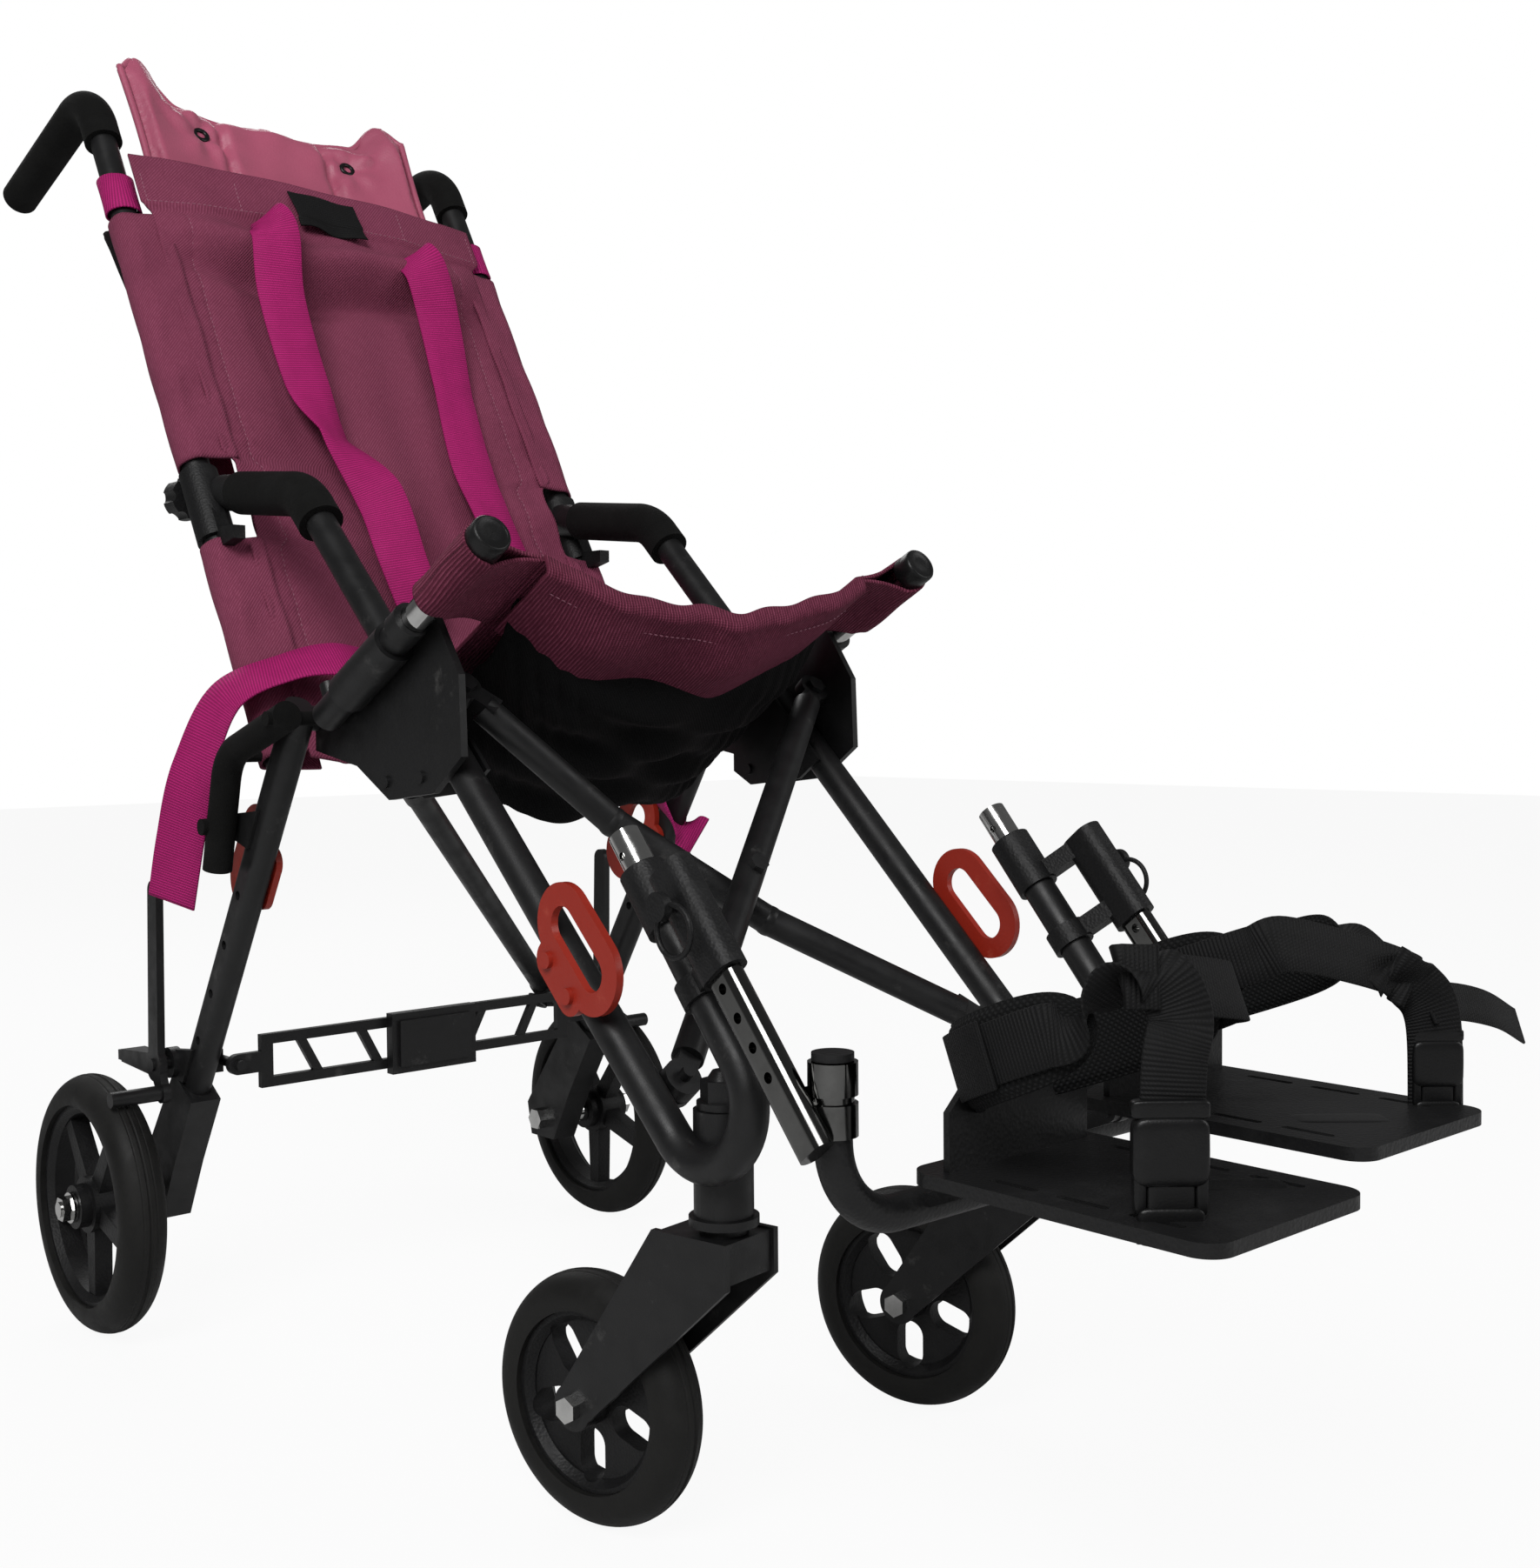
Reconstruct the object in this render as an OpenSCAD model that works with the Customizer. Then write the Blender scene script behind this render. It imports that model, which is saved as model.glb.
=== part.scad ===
// Folding special needs buggy: two bent-tube side frames joined by a crossed pair of tubes, a hinged rear
// brace and one diagonal stay, with a cloth seat and back, castors, braked rear wheels and two footrests.
// +Z is up, the occupant faces -Y, and the left side is +X. Side-view points are [y, z] from the rear axle.

/* [Frame tubes] */
// Diameter of the round frame tubes
tube_d = 22; // [20:0.5:24]
// Half distance between the front leg tubes
leg_x = 160; // [155:1:170]
// Slope of the front leg above the floor, in degrees
leg_angle = 43.6; // [42:0.1:46]
// Height of the lower end of the straight leg, where the U-bend starts
foot_z = 245.1; // [235:0.1:255]
// Length of the armrest tube behind its corner
armrest_len = 114; // [106:1:122]
// Height of the armrest corner
armrest_z = 645; // [634:1:656]
// Distance of the armrest corner in front of the rear axle
armrest_front = 198; // [190:1:206]
// Bend radius of the armrest corner
armrest_bend = 48; // [40:1:54]
// Bend radius of the U at the foot of the leg
u_bend = 38; // [34:1:44]
// Slope of the short arm that rises from the U-bend, in degrees
arm_angle = 50; // [48:0.5:52]
// Length of the short arm
arm_len = 115; // [105:1:125]
// Length of the chrome post that shows above the short arm
post_show = 37; // [28:1:45]
// Diameter of the chrome footrest post
post_d = 19; // [17:0.5:19.5]

/* [Back and handles] */
// Slope of the back posts, in degrees
back_angle = 60; // [58:0.5:62]
// Length of the back post from its foot to the handle corner
back_len = 634; // [615:1:650]
// Length of the push handle behind its corner
handle_len = 179; // [165:1:190]
// Downward slope of the push handle, in degrees
handle_drop = 16; // [12:0.5:20]
// Bend radius of the push handle
handle_bend = 45; // [40:1:50]
// Diameter of the foam on the push handles
grip_d = 31; // [28:0.5:34]
// Diameter of the foam on the armrests
pad_d = 33; // [30:0.5:36]

/* [Seat tubes] */
// Upward slope of the seat towards the front, in degrees
seat_angle = 27.7; // [26:0.1:29]
// Length of a seat tube with its extension drawn out
seat_len = 232; // [222:1:242]
// Length of the black outer seat tube
seat_outer_len = 132; // [124:1:140]
// Diameter of the chrome seat extension
extension_d = 19; // [17:0.5:19.5]

/* [Rear legs and wheels] */
// Depth of the flat-oval rear leg
rear_leg_d = 28; // [25:0.5:31]
// Width of the flat-oval rear leg
rear_leg_w = 18; // [16:0.5:20]
// Diameter of the rear wheels
rear_wheel_d = 203; // [198:1:208]
// Width of the rear tyres
rear_tyre_w = 36; // [32:0.5:38]
// Diameter of the rear axles
rear_axle_d = 12; // [10:0.5:13]

/* [Castors] */
// Diameter of the front wheels
front_wheel_d = 152; // [146:1:158]
// Width of the front tyres
front_tyre_w = 33; // [30:0.5:35]
// Distance from the swivel axis back to the front axle
trail = 98; // [92:1:104]
// Diameter of the swivel stem
stem_d = 16; // [14:0.5:18]
// Diameter of the front axles
front_axle_d = 8; // [7:0.5:10]
// Turn of the right castor as it stands, in degrees
right_turn = 10; // [0:1:15]
// Turn of the left castor as it stands, in degrees
left_turn = 15; // [0:1:15]

/* [Cross tubes] */
// Half distance between the lower pivots of the cross tubes
cross_x = 134; // [130:1:136]
// Half distance between the upper ends of the cross tubes
cross_top_x = 156; // [152:1:158]
// Rise of a cross tube from its lower pivot to its upper end, along their sloping plane
cross_len = 300; // [290:1:310]
// Slope of the plane of the cross tubes, in degrees
cross_angle = 50; // [49:0.5:52]
// Set-back of the rear cross tube at the crossing
cross_offset = 26; // [25:0.5:29]
// Diameter of the cross tubes
cross_d = 20; // [18:0.5:22]

/* [Footrests] */
// Distance of the footrest tube in front of the short arm
hanger_gap = 40; // [38:0.5:44]
// Distance of the footrest tube outside the short arm
hanger_out = 18; // [18:0.5:20]
// Depth of the flat-oval chrome footrest tube
rest_depth = 23; // [21:0.5:25]
// Width of the flat-oval chrome footrest tube
rest_w = 13; // [12:0.5:13]
// Diameter of the bent tube that carries a footplate
foot_tube_d = 20; // [18:0.5:20]
// Height setting of the left footrest along its tube, above the right one
left_raise = 19; // [0:1:20]
// Width of a footplate
plate_w = 130; // [120:1:134]
// Length of a footplate
plate_len = 182; // [170:1:195]
// Thickness of a footplate
plate_t = 7; // [5:0.5:9]
// Height of the heel bracket above the footplate
heel_h = 45; // [35:1:55]

/* [Tie-down rings] */
// Length of a tie-down ring
ring_len = 88; // [82:1:94]
// Width of a tie-down ring
ring_w = 50; // [46:1:54]
// Width of the bar round the opening of a ring
ring_bar = 14; // [12:0.5:15]
// Thickness of a ring
ring_t = 5; // [4:0.5:6]

/* [Cloth] */
// Thickness of the slings
cloth_t = 3; // [2.5:0.25:4]
// Sag of the seat sling at its middle
seat_sag = 38; // [30:1:44]
// Depth of the back sling behind its sides
back_sag = 14; // [6:1:20]
// Length of the headrest panel along the back
headrest_len = 170; // [155:1:185]
// Half width of the headrest panel
headrest_x = 144; // [138:1:150]

/* [Hidden] */
$fn = 48;

BLACK = "#1d1d20";
FOAM = "#161618";
CHROME = "#c8ccd0";
RUBBER = "#242426";
RED = "#a8261a";
MAROON = "#6a2c46";
PINK = "#a84a6a";
MAGENTA = "#a01872";

// Running clearance of pins and stems, fit of sleeves on tubes, and gap between neighbouring bodies
run_gap = 0.05;
sleeve_gap = 0.2;
body_gap = 0.5;

// Bends are a hair thicker than the straight tube and lap its ends
bend_lip = 0.06;
bend_lap = 0.8;

// Widths across the frame, from the leg outwards
tube_r = tube_d / 2;
gusset_t = 5;
inner_plate_t = 3;
pivot_gap = 5;
post_x = leg_x + 12;
gusset_x = leg_x + tube_r;
seat_x = gusset_x + gusset_t + tube_r;
rear_leg_x = gusset_x + gusset_t + pivot_gap + rear_leg_w / 2;
rear_leg_out = rear_leg_x + rear_leg_w / 2;
link_d = 21;
link_x = rear_leg_out + 3.5 + link_d / 2;
lever_x = rear_leg_out + 13;
lever_t = 6;
wheel_x = lever_x + lever_t + 9 + rear_tyre_w / 2;
axle_z = rear_wheel_d / 2;

// Side-view lines, [y, z] from the rear axle
arm_corner = [-armrest_front, armrest_z];
armrest_tilt = 6;
arm_end = arm_corner + armrest_len * [cos(armrest_tilt), sin(armrest_tilt)];
leg_dir = [cos(leg_angle), sin(leg_angle)];
leg_len = (armrest_z - foot_z) / sin(leg_angle);
leg_foot = arm_corner - leg_len * leg_dir;
u_centre = leg_foot + u_bend * [-sin(leg_angle), cos(leg_angle)];
arm_dir = [cos(arm_angle), sin(arm_angle)];
arm_foot = u_centre + u_bend * [-sin(arm_angle), cos(arm_angle)];
u_reach = u_bend * tan((180 - arm_angle + leg_angle) / 4);
leg_path = [arm_end, arm_corner, leg_foot - u_reach * leg_dir, arm_foot - u_reach * arm_dir,
    arm_foot + arm_len * arm_dir];
leg_bends = [0, armrest_bend, u_bend, u_bend, 0];
post_sunk = 40;

back_behind = 33;
back_below = 175;
back_foot = arm_corner + [back_behind, -back_below];
back_dir = [cos(back_angle), sin(back_angle)];
handle_corner = back_foot + back_len * back_dir;
handle_dir = [cos(handle_drop), -sin(handle_drop)];
handle_end = handle_corner + handle_len * handle_dir;
grip_dome = 6;
grip_back = 54;
post_tail = 26;
back_path = [back_foot - post_tail * back_dir, handle_corner, handle_end - 6 * handle_dir];
grip_path = [handle_corner - grip_back * back_dir, handle_corner, handle_end];

seat_ahead = 79;
seat_below = 162;
seat_rear = arm_corner + [-seat_ahead, -seat_below];
bracket_ahead = 48;
bracket_rise = 74.5;
saddle_back = 32;
saddle_rise = 7;
rear_leg_foot = [-bracket_ahead, axle_z + bracket_rise];
rear_leg_top = seat_rear + [saddle_back, saddle_rise];
rear_leg_len = norm(rear_leg_top - rear_leg_foot);
rear_leg_angle = atan2(rear_leg_top.y - rear_leg_foot.y, rear_leg_foot.x - rear_leg_top.x);
link_path = [seat_rear + [7, 1], back_foot + [-13, -14], back_foot + [9, -98]];
link_bend = 32;

// Castors
caster_x = leg_x - 20;
caster_y = u_centre.x + 7;
housing_r = 17;
housing_below = 48;
housing_above = 17;
housing_low = foot_z - housing_below;
housing_top = foot_z + housing_above;
crown_z = housing_low - 4;
crown_t = 8;
fork_in = front_tyre_w / 2 + 3;
fork_t = 4;
fork_end_r = 14;
front_axle_z = front_wheel_d / 2;

// Cross tubes, in a plane of their own that starts on the leg line
cross_start = 36;
cross_foot = leg_foot + cross_start * leg_dir;
cross_mid = cross_len * cross_x / (cross_x + cross_top_x);
cross_pin_d = 8;
eye_r = 12;
eye_t = 10;
shelf_t = 5;

// Rear brace between the rear legs
brace_z = axle_z + 112;
brace_y = rear_leg_foot.x - (brace_z - rear_leg_foot.y) / tan(rear_leg_angle) - 12;
brace_x = rear_leg_x - rear_leg_w / 2 - 11;
brace_rise = 34;
bar_h = 8;
bar_t = 6;
brace_pin_d = 8;
brace_layer = 7;
cover_w = 80;
cover_h = 50;

// Diagonal rear stay
stay_d = 18;
stay_low = [152, rear_leg_foot.x + 6, axle_z + 132];
stay_high = [-126, seat_rear.x - 12, seat_rear.y - 53];
stay_pin_d = 8;

// The stay turns about the line square to its open and its folded heading
fold_angle = 26.5;
fold_in = 2 * cross_x - 2 * norm([cross_mid, cross_x]) * sin(atan2(cross_x, cross_mid) - fold_angle);
stay_run = stay_high - stay_low;
stay_in = stay_run.x + fold_in;
stay_side = sqrt(stay_run * stay_run - stay_in * stay_in);
stay_heading = 163.5;
stay_folded = [stay_in, stay_side * cos(stay_heading), stay_side * sin(stay_heading)];
stay_axis = cross(stay_run, stay_folded) / norm(cross(stay_run, stay_folded));

// Footrests, on the short arm: distance up the arm from its foot, and distance in front of it
barrel_wall = 3.5;
barrel_low = 30;
barrel_top = 100;
collar_low = 86;
collar_top = 126;
rest_top = 70;
rest_low = -77;
joint_a = -54;
joint_n = hanger_gap + 10;
joint_d = 26;
joint_h = 38;
joint_pin_d = 15;
swing_y = arm_foot.x + joint_a * cos(arm_angle) - joint_n * sin(arm_angle);
swing_z = arm_foot.y + joint_a * sin(arm_angle) + joint_n * cos(arm_angle);
elbow_bend = 45;
elbow_z = swing_z - joint_h / 2 - 3 - elbow_bend;
flip_pin_d = 8;
flip_y = swing_y - 34;
flip_z = elbow_z + 19;
plate_low = flip_z + 6;
plate_rear = flip_y + 5;
plate_in = leg_x - 22 - plate_w;
lug_x = [plate_in + 34, plate_in + 84];
lug_t = 8;
lug_gap = body_gap - 0.05;

// The frame's middle stands over the origin
length_rear = handle_end.x + grip_dome * cos(handle_drop) + (grip_d / 2 - 5) * sin(handle_drop);
length_front = plate_rear - plate_len;
axle_y = -(length_rear + length_front) / 2;

// Points in space and in the side view

function heading(a, b) = atan2(b.y - a.y, b.x - a.x);
function wrapped(t) = t > 180 ? t - 360 : t < -180 ? t + 360 : t;
function turning(a, b, c) = wrapped(heading(b, c) - heading(a, b));
function trimmed(pts, radii, i) =
    i == 0 || i == len(pts) - 1 ? 0 : radii[i] * tan(abs(turning(pts[i - 1], pts[i], pts[i + 1])) / 2);

module placed() {
    translate([0, axle_y, 0]) children();
}

module opposite() {
    mirror([1, 0, 0]) children();
}

// Local x, y and z become Y, Z and X
module side_view(x) {
    translate([x, 0, 0]) rotate([90, 0, 90]) children();
}

module on_leg(x) {
    side_view(x) translate(leg_foot) rotate(leg_angle) children();
}

module on_cross() {
    side_view(0) translate(cross_foot) rotate(cross_angle) children();
}

module on_arm(x) {
    side_view(x) translate(arm_foot) rotate(arm_angle) children();
}

module on_back(x) {
    side_view(x) translate(back_foot) rotate(back_angle) children();
}

module on_seat(x) {
    side_view(x) translate(seat_rear) rotate(180 - seat_angle) children();
}

module on_rear_leg(x) {
    side_view(x) translate(rear_leg_foot) rotate(180 - rear_leg_angle) children();
}

// A round rod from start to stop along the local x axis
module along(start, stop, r, side = 0) {
    translate([start, side, 0]) rotate([0, 90, 0]) cylinder(h = stop - start, r = r);
}

// A round rod between two points
module rod(a, b, r) {
    v = b - a;
    translate(a) rotate([0, acos(v.z / norm(v)), atan2(v.y, v.x)]) cylinder(h = norm(v), r = r);
}

// A quarter-ring stretch of tube that rounds the corner b of the line a, b, c
module bent(a, b, c, bend, r) {
    h = heading(a, b);
    t = turning(a, b, c);
    k = sign(t);
    start = b - bend * tan(abs(t) / 2) * [cos(h), sin(h)];
    centre = start + k * bend * [-sin(h), cos(h)];
    translate(centre) rotate(k > 0 ? h - 90 : h + 90 + t) rotate_extrude(angle = abs(t))
        translate([bend, 0]) circle(r + bend_lip);
}

// A tube along a bent line in the local xy plane
module bent_tube(pts, radii, r) {
    for (i = [0 : len(pts) - 2]) {
        h = heading(pts[i], pts[i + 1]);
        first = trimmed(pts, radii, i);
        last = trimmed(pts, radii, i + 1);
        from = first > 0 ? first - bend_lap : 0;
        to = norm(pts[i + 1] - pts[i]) - (last > 0 ? last - bend_lap : 0);
        translate(pts[i] + from * [cos(h), sin(h)]) rotate([0, 90, h]) cylinder(h = to - from, r = r);
    }
    for (i = [1 : len(pts) - 2])
        bent(pts[i - 1], pts[i], pts[i + 1], radii[i], r);
}

// An outline with round ends, centred
module slot_shape(length, width) {
    square([length - width, width], center = true);
    for (k = [-1, 1])
        translate([k * (length - width) / 2, 0]) circle(width / 2);
}

// A closed skin between two grids of points, with rims along all four edges
function grid_faces(rows, cols, base, flip) = [
    for (i = [0 : rows - 2]) for (j = [0 : cols - 2])
        let(a = base + i * cols + j, b = a + 1, c = a + cols, d = c + 1)
        each flip ? [[a, b, c], [b, d, c]] : [[a, c, b], [b, c, d]]
];
function rim_faces(ring, shift) = [
    for (i = [0 : len(ring) - 1])
        let(a = ring[i], b = ring[(i + 1) % len(ring)])
        each [[a, b, a + shift], [b, b + shift, a + shift]]
];
function grid_ring(rows, cols) = concat(
    [for (j = [0 : cols - 1]) j],
    [for (i = [1 : rows - 1]) i * cols + cols - 1],
    [for (j = [cols - 2 : -1 : 0]) (rows - 1) * cols + j],
    [for (i = [rows - 2 : -1 : 1]) i * cols]
);

module skin(front, back) {
    rows = len(front);
    cols = len(front[0]);
    count = rows * cols;
    points = concat([for (row = front) each row], [for (row = back) each row]);
    polyhedron(points = points, convexity = 4, faces = concat(
        grid_faces(rows, cols, 0, true),
        grid_faces(rows, cols, count, false),
        rim_faces([for (k = [len(grid_ring(rows, cols)) - 1 : -1 : 0]) grid_ring(rows, cols)[k]], count)
    ));
}

// Front leg: armrest, leg, U-bend and short arm in one tube, with the castor housing and cross-tube pivot

module front_leg() {
    color(BLACK) difference() {
        union() {
            side_view(leg_x) bent_tube(leg_path, leg_bends, tube_r);
            translate([caster_x, caster_y, housing_low])
                cylinder(h = housing_top - housing_low, r = housing_r);
            translate([caster_x, caster_y, housing_low]) cylinder(h = 5, r = housing_r + 3);
            on_cross() cross_lug();
        }
        translate([caster_x, caster_y, housing_low - 1])
            cylinder(h = housing_top - housing_low + 2, r = stem_d / 2 + run_gap);
        on_arm(leg_x) along(arm_len - post_sunk, arm_len + 1, post_d / 2 + run_gap);
    }
}

// The lug and pin that carry the lower end of a cross tube
module cross_lug() {
    low = -eye_t / 2 - body_gap;
    translate([0, low, cross_x]) rotate([90, 0, 0]) cylinder(h = shelf_t, r = eye_r);
    translate([-eye_r, low - shelf_t, cross_x]) cube([2 * eye_r, shelf_t, leg_x - cross_x]);
    translate([0, low - 2, cross_x]) rotate([-90, 0, 0]) cylinder(h = eye_t + 9, r = cross_pin_d / 2);
}

pad_reach = 34;

module armrest_pad() {
    pad_start = arm_end - 14 * [cos(armrest_tilt), sin(armrest_tilt)];
    pad_stop = arm_corner - pad_reach * leg_dir;
    color(FOAM) side_view(leg_x) difference() {
        bent_tube([pad_start, arm_corner, pad_stop], leg_bends, pad_d / 2);
        bent_tube([arm_end, arm_corner, pad_stop - 2 * leg_dir], leg_bends, tube_r + sleeve_gap);
    }
}

// Clamp that ties the armrest to the back post, with its hand knob behind the post
module armrest_clamp() {
    clamp_a = (arm_end.y - back_foot.y) / sin(back_angle);
    collar_r = tube_r + 4;
    knob_y = back_foot.x + clamp_a * cos(back_angle);
    color(BLACK) difference() {
        union() {
            on_back(post_x) along(clamp_a - 44, clamp_a + 20, collar_r);
            side_view(leg_x) translate(arm_end) rotate(armrest_tilt) along(-12, 16, tube_r + 3);
            side_view(post_x - 5) linear_extrude(10) polygon([
                arm_end + [-32, -38], arm_end + [-32, -28], arm_end + [-8, -28], arm_end + [4, -12],
                arm_end + [12, -12], arm_end + [4, -46]
            ]);
            translate([post_x, knob_y, arm_end.y]) rotate([-90, 0, 0]) cylinder(h = 24, r = 6);
            translate([post_x, knob_y + 20, arm_end.y]) rotate([-90, 0, 0]) cylinder(h = 18, r = 17);
            translate([post_x, knob_y + 38, arm_end.y]) rotate([-90, 0, 0]) cylinder(h = 4, r1 = 16, r2 = 12);
        }
        on_back(post_x) along(clamp_a - 60, clamp_a + 40, tube_r + sleeve_gap);
        side_view(leg_x) translate(arm_end) rotate(armrest_tilt) along(-40, body_gap, tube_r + sleeve_gap);
        for (k = [0 : 5])
            translate([post_x, knob_y + 19, arm_end.y]) rotate([-90, 0, 0]) rotate(60 * k)
                translate([19, 0, 0]) cylinder(h = 25, r = 5);
    }
}

module back_post() {
    color(BLACK) side_view(post_x) bent_tube(back_path, [0, handle_bend, 0], tube_r);
}

module handle_grip() {
    grip_r = grip_d / 2;
    bore_end = back_path[2] + body_gap * handle_dir;
    color(FOAM) side_view(post_x) difference() {
        union() {
            bent_tube(grip_path, [0, handle_bend, 0], grip_r);
            translate(handle_end - handle_dir) rotate(-handle_drop) rotate([0, 90, 0])
                cylinder(h = grip_dome + 1, r1 = grip_r - 0.5, r2 = grip_r - 5);
        }
        bent_tube([grip_path[0] - 2 * back_dir, handle_corner, bore_end], [0, handle_bend, 0],
            tube_r + sleeve_gap);
    }
}

module seat_tube() {
    collar_out = 2;
    color(BLACK) on_seat(seat_x) difference() {
        union() {
            along(0, seat_outer_len, tube_r);
            translate([0, 0, collar_out]) along(seat_outer_len - 14, seat_outer_len, tube_r + 1.5);
            translate([12, 0, 0]) rotate([90, 0, 0]) cylinder(h = tube_r + 8, r = 6);
        }
        along(40, seat_outer_len + 1, extension_d / 2 + sleeve_gap);
    }
}

module seat_extension() {
    cap_r = tube_r + 1;
    color(CHROME) on_seat(seat_x) {
        along(seat_outer_len - 60, seat_len - 12, extension_d / 2);
        along(seat_len - 12, seat_len, cap_r);
        translate([seat_len, 0, 0]) rotate([0, 90, 0]) cylinder(h = 2, r1 = cap_r, r2 = cap_r - 2);
    }
}

// Saddle plates that carry the seat tube, leg, rear leg and upper cross-tube end
saddle_low = 34;
saddle_top = 104;
saddle_wall = 3.5;

module gusset_outline(reach) {
    polygon([
        seat_rear + [reach, 8], seat_rear + [reach, -24], seat_rear + [-20, -34], seat_rear + [-62, -56],
        seat_rear + [-118, -50], seat_rear + [-152, -26], seat_rear + [-150, 26], seat_rear + [-122, 66],
        seat_rear + [-40, 23]
    ]);
}

module gusset() {
    inner = leg_x - tube_r - inner_plate_t;
    spacers = [seat_rear + [-60, -44], seat_rear + [-104, -40]];
    color(BLACK) {
        side_view(gusset_x) linear_extrude(gusset_t) gusset_outline(38);
        side_view(inner) linear_extrude(inner_plate_t) intersection() {
            gusset_outline(0);
            translate(seat_rear + [-160, -60]) square([118, 140]);
            translate(leg_foot) rotate(leg_angle) translate([0, -leg_len / 2])
                square([leg_len, leg_len / 2 + 8]);
        }
        for (p = spacers)
            side_view(inner - 2) translate(p) cylinder(h = 2 * tube_r + inner_plate_t + gusset_t + 4, r = 4);
        side_view(gusset_x) translate(rear_leg_top + [4, -8]) cylinder(h = gusset_t + pivot_gap - 1, r = 9);
        on_cross() translate([cross_len - eye_r + 4, -eye_t / 2 - body_gap - shelf_t, cross_top_x - 4])
            cube([2 * eye_r - 4, shelf_t, gusset_x - cross_top_x + 5]);
        on_seat(seat_x) difference() {
            along(saddle_low, saddle_top, tube_r + saddle_wall);
            along(saddle_low - 1, saddle_top + 1, tube_r + sleeve_gap);
        }
    }
}

// Rear leg with its holes, wheel bracket, brake boss, brace lug and, on the left, the tab for the stay
module rear_leg(stay_tab) {
    inner = rear_leg_x - rear_leg_w / 2;
    color(BLACK) difference() {
        union() {
            on_rear_leg(rear_leg_x) rotate([0, 90, 0]) rotate(90)
                linear_extrude(rear_leg_len) slot_shape(rear_leg_d, rear_leg_w);
            wheel_bracket();
            side_view(rear_leg_out - 1) translate([lever_y, lever_z]) cylinder(h = 8, r = 12);
            side_view(rear_leg_out - 1) translate([lever_y, lever_z])
                cylinder(h = lever_x + lever_t + 3 - rear_leg_out, r = lever_pin_d / 2);
            side_view(rear_leg_out - 3) linear_extrude(6) polygon([
                [lever_y + 9, lever_z + 9], [lever_y + 9, lever_z - 10],
                rear_leg_at(lever_z - 14), rear_leg_at(lever_z + 14)
            ]);
            translate([brace_x, brace_y + bar_t + brace_layer + 4, brace_z - 9])
                cube([inner - brace_x + 3, 6, 18]);
            translate([brace_x, brace_y - brace_layer - bar_t - 3, brace_z]) rotate([-90, 0, 0])
                cylinder(h = 2 * brace_layer + 2 * bar_t + 9, r = brace_pin_d / 2);
            link_tab();
            if (stay_tab) stay_lug();
            side_view(inner - 1) translate(rear_leg_top + [4, -8]) cylinder(h = 3, r = 9);
        }
        side_view(0) translate([0, axle_z]) cylinder(h = 2 * wheel_x, r = rear_axle_d / 2 + run_gap);
        for (k = [0 : 3])
            on_rear_leg(rear_leg_x) translate([70 + 46 * k, 0, -rear_leg_w])
                cylinder(h = 2 * rear_leg_w, r = 3.5);
    }
}

function rear_leg_at(z) = [rear_leg_foot.x - (z - rear_leg_foot.y) / tan(rear_leg_angle), z];

lever_z = axle_z + 112;
lever_y = rear_leg_at(lever_z).x + 26;
lever_pin_d = 10;

// Channel that drops from the leg to the rear axle
module wheel_bracket() {
    cheek = [
        rear_leg_foot + [-30, 10], rear_leg_foot + [2, 30], [24, axle_z + 12], [18, axle_z - 18],
        [-18, axle_z - 18], [-44, axle_z + 30]
    ];
    for (x = [rear_leg_x - rear_leg_w / 2 - 3, rear_leg_out])
        side_view(x) linear_extrude(3) polygon(cheek);
    side_view(rear_leg_x - rear_leg_w / 2 - 1) linear_extrude(rear_leg_w + 2) polygon([
        rear_leg_foot + [-30, 10], rear_leg_foot + [-16, 20], [-14, axle_z - 12], [-18, axle_z - 18],
        [-44, axle_z + 30]
    ]);
}

// Tab from the leg to the lower end of the back link
module link_tab() {
    link_low = link_path[2] + [-4, 32];
    side_view(rear_leg_out - 1) linear_extrude(4) polygon([
        rear_leg_at(link_low.y - 16), rear_leg_at(link_low.y + 12), link_low + [8, 8], link_low + [8, -8]
    ]);
}

// Arm, disc and pin that carry the lower end of the diagonal stay
stay_end_r = stay_d / 2 + 1;
stay_disc_t = 6;

module stay_lug() {
    disc = stay_low - (stay_end_r + body_gap + stay_disc_t) * stay_axis;
    rod(disc, stay_low - (stay_end_r + body_gap) * stay_axis, stay_end_r);
    rod(disc + stay_axis, stay_low + (stay_end_r + 4) * stay_axis, stay_pin_d / 2);
    rod(disc + 0.5 * stay_axis, [rear_leg_x, rear_leg_at(disc.z).x, disc.z], 3.5);
}

// Foam-covered link from the seat tube to the back post's foot and down to the rear leg
module back_link() {
    low_bolt = link_path[2] + [-4, 32];
    color(FOAM) difference() {
        union() {
            side_view(link_x) bent_tube(link_path, [0, link_bend, 0], link_d / 2);
            side_view(seat_x) translate(link_path[0] + [6, -2])
                cylinder(h = link_x + link_d / 2 + 3 - seat_x, r = 5);
            side_view(post_x) translate(back_foot - 18 * back_dir) cylinder(h = link_x - post_x, r = 4);
            side_view(rear_leg_out + 3) translate(low_bolt) cylinder(h = link_d + 4, r = 6);
        }
        on_back(post_x) along(-post_tail - 1, 60, tube_r + run_gap);
        on_seat(seat_x) along(-1, seat_outer_len, tube_r + run_gap);
    }
}

// Flat ring with a long opening and a two-bolt foot
module ring_plate() {
    foot = ring_w / 2 + 1;
    linear_extrude(ring_t) difference() {
        union() {
            translate([0, foot]) slot_shape(ring_len, ring_w);
            slot_shape(52, 24);
            translate([-26, 0]) square([52, foot]);
        }
        translate([0, foot]) slot_shape(ring_len - 2 * ring_bar, ring_w - 2 * ring_bar);
    }
    for (k = [-1, 1])
        translate([k * 14, 0, 0]) cylinder(h = ring_t + 3, r = 5);
}

front_ring_a = 120;
rear_ring_a = 222;

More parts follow.
